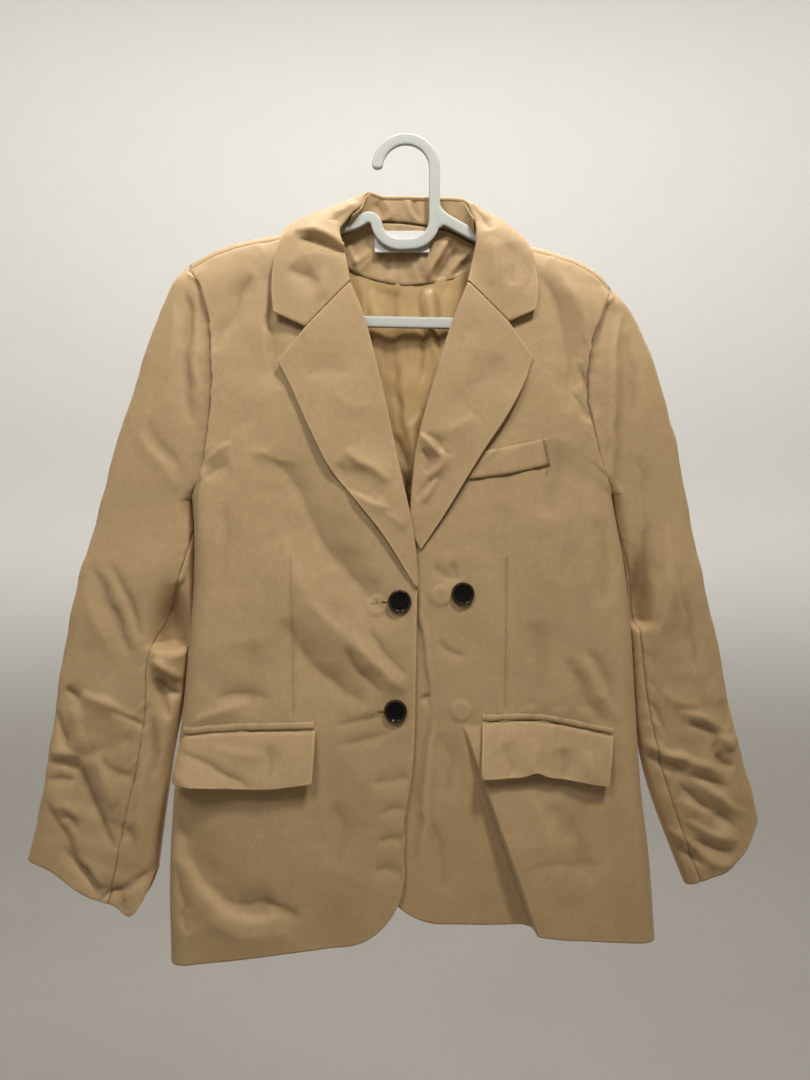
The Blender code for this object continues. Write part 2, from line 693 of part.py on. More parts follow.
def make_inside():
    """What shows inside the neck: the back neck facing, the lining and the label."""
    row = columns(FACING_COLUMNS, smooth_rows(FACING, np.linspace(0, len(FACING) - 1, 17)))
    x, top_z, bottom_z = row["x"], row["top_z"], row["bottom_z"]
    down = np.linspace(0, 1, 4)
    z = top_z[None, :] + (bottom_z - top_z)[None, :] * down[:, None]
    across = np.repeat(x[None, :], len(down), axis=0)
    depth = np.minimum(FACING_DEPTH, back_depth(across, z) - LAYER)
    facing = np.stack([across, depth, z], axis=-1)
    wall("neck_facing", facing, THIN_CLOTH)
    u = np.linspace(-1, 1, 11)
    facing_foot = np.interp(u * LINING_HALF_WIDTH, x, bottom_z)
    down = np.linspace(0, 1, 9)
    z = facing_foot[None, :] - SEAM_GAP + (LINING_FOOT_Z - facing_foot)[None, :] * down[:, None]
    across = np.repeat(u[None, :] * LINING_HALF_WIDTH, len(down), axis=0)
    y = LINING_DEPTH[0] + (LINING_DEPTH[1] - LINING_DEPTH[0]) * down[:, None] + 0 * across
    wall("lining_back", np.stack([across, y, z], axis=-1), THIN_CLOTH, "lining", 0.35)
    u = np.linspace(*LABEL["x"], 4)
    z = np.linspace(*LABEL["z"], 3)
    across, height = np.meshgrid(u, z)
    depth = np.full_like(across, FACING_DEPTH - THIN_CLOTH - SEAM_GAP)
    wall("neck_label", np.stack([across, depth, height], axis=-1), THIN_CLOTH, "label", 0.6)


def laid_on_front(x, z, lift, stand):
    """Points at x and z on a front, moved out by a layer square to it and then forwards."""
    step = 0.5
    base = front_depth(x, z)
    slope_x = (front_depth(x + step, z) - front_depth(x - step, z)) / (2 * step)
    slope_z = (front_depth(x, z + step) - front_depth(x, z - step)) / (2 * step)
    out = np.stack([-slope_x, -np.ones_like(x), -slope_z], axis=-1)
    out /= np.linalg.norm(out, axis=-1, keepdims=True)
    points = np.stack([x, -(base + lift + SEAM_GAP), z], axis=-1) + out * LAYER
    points[..., 1] -= stand
    return points


def make_pockets():
    """Jets, flaps and the chest welt, each on its front's own surface, moved out."""
    for name, shape in POCKETS.items():
        ends = np.linspace(0, 2, 9)
        top = smooth_rows(shape["top"], ends)
        bottom = smooth_rows(shape["bottom"], ends)
        down = np.linspace(0, 1, 4 if "flap" in name else 2)
        flat = top[None] + (bottom - top)[None] * down[:, None, None]
        x, z = flat[..., 0], flat[..., 1]
        low, high = shape["stand"]
        lift = overlap_lift(x, z) if name.endswith("right") else pleat_lift(x, z)
        panel = laid_on_front(x, z, lift, low + (high - low) * down[:, None])
        wall(name, panel, THIN_CLOTH if "flap" in name else SHELL_CLOTH)


def turned(name, profile, centre, segments, slot, roughness):
    """A solid turned about a line along Y: the profile runs from the back pole to the front one."""
    angle = np.linspace(0, 2 * math.pi, segments, endpoint=False)
    radius, height = np.array(profile[1:-1], float).T
    ring = np.stack([
        centre[0] + radius[:, None] * np.cos(angle),
        centre[1] - np.repeat(height[:, None], segments, axis=1),
        centre[2] + radius[:, None] * np.sin(angle),
    ], axis=-1).reshape(-1, 3)
    poles = [[centre[0], centre[1] - profile[k][1], centre[2]] for k in (0, -1)]
    points = np.concatenate([ring, poles])
    number = np.arange(len(ring)).reshape(len(radius), segments)
    after = np.roll(number, -1, axis=1)
    faces = np.stack([number[:-1], after[:-1], after[1:], number[1:]], axis=-1).reshape(-1, 4).tolist()
    back, front = len(ring), len(ring) + 1
    faces += [[back, b, a] for a, b in zip(number[0], after[0])]
    faces += [[front, a, b] for a, b in zip(number[-1], after[-1])]
    return add_mesh(name, points, faces, slot, roughness)


def make_buttons():
    """Three turned buttons with a rounded rim and a dished middle."""
    half = BUTTON_THICKNESS / 2
    profile = (
        (0, -half),
        (BUTTON_RADIUS * 0.7, -half),
        (BUTTON_RADIUS * 0.95, -half * 0.6),
        (BUTTON_RADIUS, 0),
        (BUTTON_RADIUS * 0.93, half * 0.8),
        (BUTTON_RADIUS * 0.82, half),
        (BUTTON_RADIUS * 0.68, half * 0.5),
        (0, half * 0.4),
    )
    for name, (x, z, lift) in BUTTONS.items():
        depth = float(front_depth(np.array(x), np.array(z))) + lift + BUTTON_STANDOFF
        turned(name, profile, (x, -depth, z), 24, "horn", 0.25)


def offset_path(points, distance):
    """Points moved sideways by a distance, to the left of the way along the path."""
    step = np.gradient(points, axis=0)
    step /= np.linalg.norm(step, axis=1, keepdims=True)
    return points + distance * np.column_stack([-step[:, 1], step[:, 0]])


def filleted(points):
    """A path of straight runs whose corners are rounded: each point is x, z and its radius."""
    out = [np.array(points[0][:2], float)]
    for before, here, after in zip(points[:-2], points[1:-1], points[2:]):
        corner = np.array(here[:2], float)
        a = np.array(before[:2], float) - corner
        b = np.array(after[:2], float) - corner
        a /= np.linalg.norm(a)
        b /= np.linalg.norm(b)
        half = math.acos(float(np.clip(a @ b, -1, 1))) / 2
        reach = here[2] / math.tan(half)
        middle = corner + (a + b) / np.linalg.norm(a + b) * here[2] / math.sin(half)
        start, end = corner + a * reach - middle, corner + b * reach - middle
        first = math.atan2(start[1], start[0])
        sweep = (math.atan2(end[1], end[0]) - first + math.pi) % (2 * math.pi) - math.pi
        steps = max(3, round(abs(sweep) / 0.28))
        for t in np.linspace(0, 1, steps):
            angle = first + sweep * t
            out.append(middle + here[2] * np.array([math.cos(angle), math.sin(angle)]))
    out.append(np.array(points[-1][:2], float))
    return np.array(out)


def hanger_path():
    """Middle line of the hanger's bar, from the hook's tip round the loop back to the stem."""
    turn = np.linspace(math.pi * 1.02, 0, 22)
    hook = np.column_stack([
        HOOK_RADIUS * np.cos(turn), HOOK_CENTRE_Z + HOOK_RADIUS * np.sin(turn),
    ])
    loop = filleted(HANGER_LOOP)
    return hook, loop


def make_hanger():
    """The hanger: one flat moulded bar, 5 mm thick, with the hook in the same piece."""
    hook, loop = hanger_path()
    path = np.concatenate([hook, loop])
    left = offset_path(path, BAR_WIDTH / 2)
    right = offset_path(path, -BAR_WIDTH / 2)
    stem = HOOK_RADIUS + BAR_WIDTH / 2
    joint_high = HANGER_LOOP[-1][1] + BAR_WIDTH * 0.62
    joint_low = HANGER_LOOP[-1][1] - BAR_WIDTH * 0.62
    on_stem = [k for k in range(len(left)) if abs(left[k, 0] - stem) < 0.5 and k < len(hook) + 3]
    above = [k for k in range(len(left)) if k <= on_stem[-1] and left[k, 1] > joint_high]
    turn = np.radians([-45, -90, -135])
    tip = hook[0] + BAR_WIDTH / 2 * np.column_stack([np.cos(turn), np.sin(turn)])
    outer = [*tip, *left[above], (stem, joint_high), *right[::-1]]
    hole = [(stem, joint_low), *left[on_stem[-1] + 1:]]
    curve = bpy.data.curves.new("hanger", "CURVE")
    curve.dimensions = "2D"
    curve.fill_mode = "BOTH"
    curve.extrude = BAR_THICKNESS / 2 * MM
    for points in (outer, hole):
        spline = curve.splines.new("POLY")
        spline.points.add(len(points) - 1)
        for point, place in zip(spline.points, points):
            point.co = (place[0] * MM, place[1] * MM, 0.0, 1.0)
        spline.use_cyclic_u = True
    curve.materials.append(finish("hanger", "plastic", 0.45))
    piece = bpy.data.objects.new("hanger", curve)
    piece.rotation_euler = (math.pi / 2, 0.0, 0.0)
    bpy.context.scene.collection.objects.link(piece)


def main():
    clear_scene()
    make_hanger()
    make_fronts()
    make_backs()
    make_sleeves()
    make_lapels()
    make_collar()
    make_inside()
    make_pockets()
    make_buttons()


if __name__ == "__main__":
    main()
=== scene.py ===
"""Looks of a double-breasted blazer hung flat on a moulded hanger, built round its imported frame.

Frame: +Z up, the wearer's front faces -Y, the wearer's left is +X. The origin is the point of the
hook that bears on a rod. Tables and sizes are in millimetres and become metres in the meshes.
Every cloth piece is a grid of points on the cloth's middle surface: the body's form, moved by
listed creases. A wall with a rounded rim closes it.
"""

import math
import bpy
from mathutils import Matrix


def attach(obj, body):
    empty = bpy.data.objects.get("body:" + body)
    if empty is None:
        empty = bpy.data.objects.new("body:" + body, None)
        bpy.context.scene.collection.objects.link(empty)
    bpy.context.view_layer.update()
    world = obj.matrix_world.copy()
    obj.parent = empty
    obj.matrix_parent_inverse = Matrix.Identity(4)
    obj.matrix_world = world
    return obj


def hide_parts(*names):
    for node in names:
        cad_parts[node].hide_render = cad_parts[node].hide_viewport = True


bl_info = {
    "name": "Double-breasted blazer",
    "version": (1, 0, 0),
    "blender": (4, 5, 0),
    "location": "View3D > Sidebar > Blazer",
    "description": "Builds a double-breasted blazer on its hanger round the packed frame",
    "category": "Object",
}

import bpy
import numpy as np
from bpy.props import FloatProperty, FloatVectorProperty, PointerProperty
from bpy.types import Operator, Panel, PropertyGroup
from mathutils import Vector

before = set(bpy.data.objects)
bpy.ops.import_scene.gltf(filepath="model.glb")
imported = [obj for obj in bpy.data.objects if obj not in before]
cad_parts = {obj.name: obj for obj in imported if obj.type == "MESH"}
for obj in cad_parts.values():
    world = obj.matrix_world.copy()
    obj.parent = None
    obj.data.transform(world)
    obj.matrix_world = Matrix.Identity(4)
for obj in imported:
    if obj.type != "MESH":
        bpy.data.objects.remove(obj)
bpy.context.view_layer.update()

MM = 0.001
BODY = "root"

# Cloth
SHELL_CLOTH = 1.8
THIN_CLOTH = 1.3
JET_CLOTH = 1.6
LAYER = 2.6
# Least distance between the middles of two layers of cloth
LAYER_CLEARANCE = 1.9
# Square millimetres that round off the change where one layer lifts another
SOFT_CHANGE = 0.6
OVERLAP_LIFT = 5.6
# The lap rises from this x over the first length, and down from this z over the second
OVERLAP_START = (-75, -285)
OVERLAP_GROWTH = (45, 70)
# How deep a seam lies, how far it reaches, and how far the puckers beside it reach
SEAM_DIP = 1.3
SEAM_UNEVENNESS = 0.2
SEAM_REACH = 1.5
PUCKER = 0.5
PUCKER_REACH = 11.0
# How far puckers run along the seam for each millimetre away from it
PUCKER_SLANT = 0.5
# How far from its edge a pressed edge is painted paler: partly the iron's press, partly a painted
# highlight
EDGE_REACH = 1.6
# How far from a seam its dark line reaches: partly its thread, partly painted shade in its groove
SEAM_SHADE = 0.9
# How strongly folds get painted light, ridges paler and valleys darker, over how many grid steps,
# and the height that counts as one
FOLD_PAINTED_LIGHT = 0.4
RIDGE_STEPS = 3
RIDGE_HEIGHT = 1.2
# Creases: how far they wander off their paths and over what sizes, the points between two of a
# path's own, how far out in widths one is followed, the power of its section, and how its height
# and width shrink towards its ends
CREASE_WANDER = 2.0
WANDER_SIZE = {"x": 15, "z": 17}
CREASE_STEPS = 4
CREASE_FAR = 2.6
CREASE_POWER = 1.3
CREASE_ENDS = 2.6
CREASE_END_WIDTH = 0.45
# Soft unevenness of the cloth: a row is height, more height on the bunched forearms, size and
# seed, and then how the slanted net's own x and z are made of x and z
FRONT_UNEVENNESS = (
    (0.95, 0.2, 34, 11, (1, 0.4), (-0.2, 0.6)),
    (0.22, 0.55, 13, 12, (0.8, -0.5), (0.4, 0.8)),
)
BACK_UNEVENNESS = (
    (0.9, 0, 38, 13, (1, 0.3), (-0.2, 0.5)),
    (0.18, 0, 14, 14, (0.8, -0.5), (0.4, 0.8)),
)
# Where a forearm is bunched, and over what lengths that grows
FOREARM = {"x": 232, "z": -480, "grow_x": 12, "grow_z": 60}
# All of this fades towards the shoulder line over this height
SHOULDER_FADE = 35.0
# The back hangs smoother than the front
BACK_SHARE = 0.55
# Seams are level with the cloth on the outline itself
OUTLINE_FADE = 12.0

# Hanger
HOOK_RADIUS = 28.2
HOOK_SWEEP = math.pi * 1.02
BAR_WIDTH = 11.0
BAR_THICKNESS = 5.0
# Steps along the bar, how long its rounded tip and its end at the stem are, the share by which
# that end widens, and the power of its section
BAR_STEP = 2.6
BAR_TIP = 5.5
BAR_END = 14.0
BAR_FLARE = 0.85
BAR_POWER = 5
HOOK_CENTRE_Z = BAR_WIDTH / 2 - HOOK_RADIUS
# The bar's middle line after the hook: x, z and the radius of each corner
HANGER_LOOP = (
    (28.2, -40, 0),
    (28.2, -97, 24),
    (-26, -99, 24),
    (-31, -66, 8),
    (-48, -77, 40),
    (-197, -123, 15),
    (-192, -171.5, 15),
    (186, -179, 15),
    (195, -147, 13),
    (64, -87.5, 40),
    (28.2, -68, 0),
)

BUTTON_RADIUS = 11.0
BUTTON_THICKNESS = 3.6
BUTTON_STANDOFF = 3.4
# A button's section, from its back to its front: shares of its radius and of half its thickness,
# and how much bronze its rim shows
BUTTON_PROFILE = (
    (0, -1, 0), (0.7, -1, 0), (0.93, -0.7, 0), (1, -0.1, 0), (0.985, 0.45, 0.2), (0.93, 0.9, 0.8),
    (0.87, 1, 1), (0.81, 0.86, 0.5), (0.76, 0.5, 0), (0.7, 0.42, 0), (0.45, 0.3, 0), (0, 0.22, 0),
)
# Buttons on this x or less are on the right front
BUTTON_SPLIT = 20.0

# Rounded bottom corners of the fronts
HEM_CORNER = 60.0
# The lapel's roll goes round the front's edge, which is drawn in by this much under it
ROLL_RADIUS = 1.5
ROLL_DRAWN_IN = 8.0
ROLL_STEPS = 9
ROLL_UNDERSIDE = 7.0
UNDERSIDE_STEPS = (1.0, 0.66, 0.33)

# Back neckline and back centre seam
NECK_BACK_FALL = 26.0
NECK_HALF = 88.0
NECK_TURN = 30.0
BACK_CENTRE_Z = (-86.0, -752.0)
BACK_ROW_GROWTH = 1.15
BACK_ROW_BEND = 1.5

# Body sections, a row for each height: depth of the front and of the back from the hanger's plane
BODY_DEPTH = {
    "z": (-800, -700, -600, -450, -350, -260, -180, -120, -60),
    "front": (32, 32, 31, 29, 28, 27, 24, 19, 15),
    "back": (20, 20, 19, 18, 17.5, 17, 16.5, 16, 15),
}
CREST_ROUND = 45.0
# Powers of the superellipses that round the body off at the sleeve heads and at the sides
HEAD_POWER = 2.5
SIDE_POWER = 2.6
SHOULDER_SEAM_DROP = 8.0
SHOULDER_ROWS = 3
HEM_ROWS = 3
ARMHOLE_FIRST_ROW = 0.4
SIDE_ROUND = 26.0
SLEEVE_HEAD_ROUND = 70.0
ARMPIT_BLEND = (-262.0, -372.0)
# Points on an outline: near enough to each other for front and back to meet at the side seam
OUTLINE_SAMPLES = 4001

# Shoulder crest from the right tip over the neck to the left tip
CREST = {
    "x": (-217, -186, -155, -120, -90, -70, 0, 70, 92, 112, 144, 175, 195, 204),
    "z": (-121, -105, -95.5, -89, -79, -72, -52, -79, -89, -98, -107, -119, -134, -146),
}

# Fronts: a row for each section from the shoulder seam to the hem, from front edge to side
FRONT_COLUMNS = ("edge_x", "edge_z", "side_x", "side_z")
FRONT_RIGHT = (
    (-72, -81, -212, -127),
    (-69, -102, -199, -147),
    (-62, -128, -191, -175),
    (-54, -146, -188, -208),
    (-42, -175, -187, -241),
    (-24, -240, -190, -282),
    (-11, -303, -197, -325),
    (-1, -350, -208, -350),
    (6, -385, -206, -382),
    (10, -424, -206, -420),
    (9, -497, -210, -480),
    (8, -560, -216, -545),
    (5, -630, -225, -630),
    (-1, -696, -229, -705),
    (-2, -768, -228, -796),
)
FRONT_LEFT = (
    (71, -88, 200, -149),
    (69, -110, 191, -169),
    (64, -130, 181, -192),
    (60, -147, 176, -219),
    (47, -178, 175, -249),
    (29, -237, 180, -282),
    (14, -292, 188, -316),
    (7, -337, 199, -345),
    (4, -385, 206, -380),
    (-11, -425, 213, -420),
    (-26, -490, 219, -482),
    (-28, -560, 223, -550),
    (-28, -630, 228, -630),
    (-28, -692, 236, -700),
    (-28, -754, 241, -777),
)
ARMPIT_ROW = 7
LAST_ROW = len(FRONT_RIGHT) - 1
BREAK_ROWS = {-1: 8.6, 1: 7.6}
# Rows above the break in which the edge comes out to where it isn't drawn in
BREAK_FADE = 1.2

# How much higher than its last row the left front's hem hangs: x and the rise
HEM_RISE = ((-28, 3), (32, 5), (75, 8), (110, 12), (124, 9), (150, 7), (200, 5), (241, 4))

# Deep fold in the left front, from below the last button to the hem
PLEAT_TOP = (55.7, -566.0)
PLEAT_FOOT = (127.6, -770.0)
PLEAT_HEIGHT = 17.0
PLEAT_SLOPE = 3.8
PLEAT_POWER = 1.7
PLEAT_GROWTH = 0.7
PLEAT_FADE = 75.0
PLEAT_COLUMN = 0.42
PLEAT_FIRST_ROW = 8.0
PLEAT_OPENS = 110.0

# Sleeves: a row for each section from the shoulder tip to the cuff
SLEEVE_COLUMNS = (
    "outer_x", "outer_z", "inner_x", "inner_z", "front", "back", "seam_front", "seam_back",
)
SLEEVE_RIGHT = (
    (-212.8, -118.9, -212, -127, 9, 9, -1.00, -1.00),
    (-230, -141, -199, -147, 14, 12, -1.00, -1.00),
    (-243, -175, -191, -175, 18, 14, -1.00, -1.00),
    (-255, -208, -188, -208, 20, 15, -1.00, -1.00),
    (-266, -242, -187, -241, 21, 15, -1.00, -1.00),
    (-280, -285, -190, -282, 21, 15, -1.00, -1.00),
    (-293, -330, -197, -325, 20, 15, -1.00, -1.00),
    (-301, -362, -210, -352, 18, 14, -1.00, -0.98),
    (-310, -392, -207.5, -382, 18, 14, -0.98, -0.90),
    (-324, -443, -208, -430, 20, 14, -0.76, -0.60),
    (-336, -508, -213, -495, 19, 14, -0.43, -0.50),
    (-343, -560, -219, -545, 19, 14, -0.47, -0.50),
    (-349, -597, -228, -590, 18, 13, -0.51, -0.50),
    (-358, -650, -237, -650, 16, 12, -0.37, -0.50),
    (-371, -703, -245, -711, 13, 10, -0.29, -0.50),
)
SLEEVE_LEFT = (
    (200.8, -141.2, 200, -149, 9, 9, -1.00, -1.00),
    (220, -166, 191, -169, 12, 12, -1.00, -1.00),
    (232, -191, 181, -192, 16, 14, -1.00, -1.00),
    (243, -219, 176, -219, 19, 15, -1.00, -1.00),
    (252, -249, 175, -249, 20, 15, -1.00, -1.00),
    (262, -284, 180, -282, 20, 15, -1.00, -1.00),
    (269, -320, 188, -316, 19, 15, -1.00, -1.00),
    (276, -354, 201, -348, 18, 14, -1.00, -0.98),
    (283, -392, 207.5, -382, 18, 14, -0.98, -0.90),
    (292, -436, 215, -430, 20, 14, -0.90, -0.60),
    (303, -483, 220, -480, 19, 14, -0.84, -0.50),
    (312, -530, 223.5, -530, 19, 14, -0.80, -0.50),
    (322, -575, 228, -580, 18, 13, -0.72, -0.50),
    (334, -618, 242, -640, 16, 12, -0.68, -0.50),
    (345, -662, 275, -727, 13, 10, -0.67, -0.50),
)
SLEEVE_ROUND = 3.2
SLEEVE_HEAD_REACH = 0.15
ARMPIT_ROWS = 0.5
ARMPIT_ROUNDING = 2.6
UNDER_SLEEVE_ROW = 7.5
# The outer edge wanders by this much, over this length
SLEEVE_WANDER = 0.9
SLEEVE_WANDER_SIZE = 21
# Place on the net of heights, to one side of its middle for each sleeve
WANDER_AT = 40
CUFF_ROWS = 2.5

# Cuff edges: how far the edge hangs below the last section's own line, from inner to outer
CUFF_Q = (-1.0, -0.9, -0.7, -0.4, 0.15, 0.3, 0.6, 1.0)
CUFF_RIGHT = {"front": (0, 20, 42, 37, 26, 20, 8, 0), "back": (0, 18, 37, 32, 22, 16, 5, 0)}
CUFF_LEFT = {"front": (0, 2, 5.5, 11, 19, 18, 16, 0), "back": (0, 1, 3, 6, 11, 12, 10, 0)}

# Dents between the sleeves and the fronts, under the arms
UNDERARM_DENTS = {
    -1: {"x": -226, "z": -490, "across": 17, "above": 46, "below": 6, "depth": 30},
    1: {"x": 225, "z": -468, "across": 10, "above": 50, "below": 6, "depth": 25},
}
DENT_POWER = 1.4

# Lapels: a row for each section from the gorge to the break, from the roll line to the edge
LAPEL_COLUMNS = ("roll_x", "roll_z", "edge_x", "edge_z")
LAPEL_RIGHT = (
    (-54.5, -144.3, -122, -220),
    (-42, -175, -109, -245),
    (-30, -220, -92, -283),
    (-17, -276, -72, -322),
    (-5, -334, -46, -354),
    (5, -381, -20, -387),
    (10.3, -434, 9.2, -434),
)
LAPEL_LEFT = (
    (60.5, -144.3, 121, -216),
    (47, -178, 110, -245),
    (36, -211, 93, -276),
    (23, -256, 76, -301),
    (12, -298, 58, -330),
    (7, -340, 36, -366),
    (4, -381, 14, -399),
)
NOTCH_RIGHT = (-95.6, -188.2)
NOTCH_LEFT = (97.6, -183.3)
NOTCH_AT = 0.60
GORGE_ROWS = 1.7
NOTCH_ROWS = 1.85
NOTCH_POWER = 1.3
LAPEL_STAND = {"right": 4.0, "left": 7.5}
# The lapel's stand grows by these powers towards its edge and towards the gorge
LAPEL_STAND_POWERS = (1.3, 0.7)
LAPEL_UNEVENNESS = 0.35
# The roll's underside grows over this many rows from the lapel's foot
LAPEL_FOOT_ROWS = 1.5

# Collar: a row for each section from the right gorge round the neck to the left gorge
COLLAR_COLUMNS = ("roll_x", "roll_y", "roll_z", "edge_x", "edge_y", "edge_z")
COLLAR = (
    (-55, -26.5, -143, -126, -31, -173),
    (-61, -23, -110, -128, -29, -150),
    (-65, -18, -91, -126, -26, -122),
    (-58, -12, -76, -119, -20, -97),
    (-46, -5, -62, -112, -2, -79),
    (-39, 3, -46, -98, 18, -90),
    (-22, 9.5, -48, -56, 22, -112),
    (0, 10.5, -48, 0, 23, -118),
    (30, 10, -49, 60, 22, -116),
    (57, 3, -53, 96, 18, -98),
    (64, -5, -66, 106, -2, -87),
    (69, -13, -81, 119, -19, -107),
    (69, -20.5, -101, 124, -24, -128),
    (65, -22, -122, 126, -28, -150),
    (61, -26.5, -143, 123, -30, -171),
)
COLLAR_ENDS = ((-96, -31, -187), (98, -30, -182))
COLLAR_BULGE = 5.0
COLLAR_ARCH_POWER = 0.8
COLLAR_UNEVENNESS = 0.4
# The collar is creased in front of this y, and its creases grow over this distance
COLLAR_CREASED = (6, 10)
COLLAR_UNDERSIDE = 2.0
COLLAR_END_BULGE = 0.3
COLLAR_END_ROWS = 1.3
COLLAR_NOTCH_ROWS = 0.8
NECK_CENTRE = np.array([3.0, -12.0, 0.0])
STAND_ROWS = (3.4, 10.6)
# How far inside the roll and below it the stand starts
STAND_INSIDE = 1.8
STAND_BELOW = 2.2
STAND_UNEVENNESS = 0.5
STAND_FOOT = (
    (-63, 3, -87),
    (-53, 6, -80),
    (-44, 7, -75),
    (-33, 8, -72),
    (-14, 8.6, -71.5),
    (6, 8.6, -73.5),
    (26, 8.4, -77),
    (45, 7.6, -82),
    (58, 5, -89),
    (68, 1, -95),
)

# Back neck facing: a row for each section across the neck
FACING_COLUMNS = ("x", "top_z", "bottom_z")
FACING = (
    (-80, -97, -108),
    (-56, -83, -121),
    (-36, -75.5, -129),
    (-8, -74.5, -135),
    (20, -78.5, -134),
    (42, -83, -130),
    (63, -93, -122),
    (84, -103, -112),
)
FACING_DEPTH = 9.8
FACING_UNEVENNESS = 0.9
# Its centre seam
FACING_SEAM = {"x": -8, "reach": 1.6, "height": 0.9}
LINING_FOOT_Z = -470.0
LINING_HALF_WIDTH = 86.0
LINING_DEPTH = (11.2, 13.5)
# How far the lining goes up behind the facing
LINING_UNDER_FACING = 4.0
# Distance from its head down to which the lining is flat, and over which its folds grow
LINING_FLAT = (6, 9)
# Unevenness of the lining: height and stretch of its upright folds, height of its slanted ones
LINING_UPRIGHT = (1.5, 0.1)
LINING_SLANTED = 0.5
LABEL = {
    "x": (-31, 23), "z": (-82, -105), "stand": 2.4, "tilt": 5.0, "unevenness": 0.6,
    "thickness": 0.8,
}

# Pockets, as corners of the piece on its panel: x and z at the top and the bottom of each end
POCKETS = {
    "jet_right": {"top": ((-211, -568.5), (-168, -564), (-88, -562)),
                  "bottom": ((-211, -576), (-168, -571.8), (-88, -570)), "stand": (-0.3, -0.3)},
    "flap_right": {"top": ((-214, -576.5), (-172, -572.2), (-86, -570.6)),
                   "bottom": ((-218, -619), (-140, -623), (-88, -618)), "stand": (0.8, 11.0)},
    "jet_left": {"top": ((73, -555), (128, -555), (196, -568)),
                 "bottom": ((73, -562.2), (128, -561.8), (196, -574.6)), "stand": (-0.4, -0.4)},
    "flap_left": {"top": ((72.5, -562.8), (128, -562.4), (196, -575.4)),
                  "bottom": ((70, -612), (128, -611), (190, -621)), "stand": (0.8, 8.0)},
    "chest_welt": {"top": ((72, -305), (102, -299.5), (133, -292.5)),
                   "bottom": ((58, -333), (98, -327.5), (137.5, -318.5)), "stand": (0.2, 0.2)},
}
POCKET_STAND_POWER = 0.8
FLAP_UNEVENNESS = 0.4
JET_SUNK = 0.5
# Distance over which the body's slope is measured under a pocket
SLOPE_OVER = 1.0
FLAP_CORNER = 1.8
FLAP_TOP_CORNER = 8.0
# The left flap's lower edge has one small arch
FLAP_WAVE_X = 121.5
FLAP_WAVE_HEIGHT = 4.0
FLAP_WAVE_REACH = 8.0

# Buttons: x and z of the centre, and how far the lap under it lifts it
BUTTONS = {
    "button_upper_right": (-6, -448, OVERLAP_LIFT),
    "button_lower_right": (-10, -551, OVERLAP_LIFT),
    "button_upper_left": (54, -441, 0.0),
}
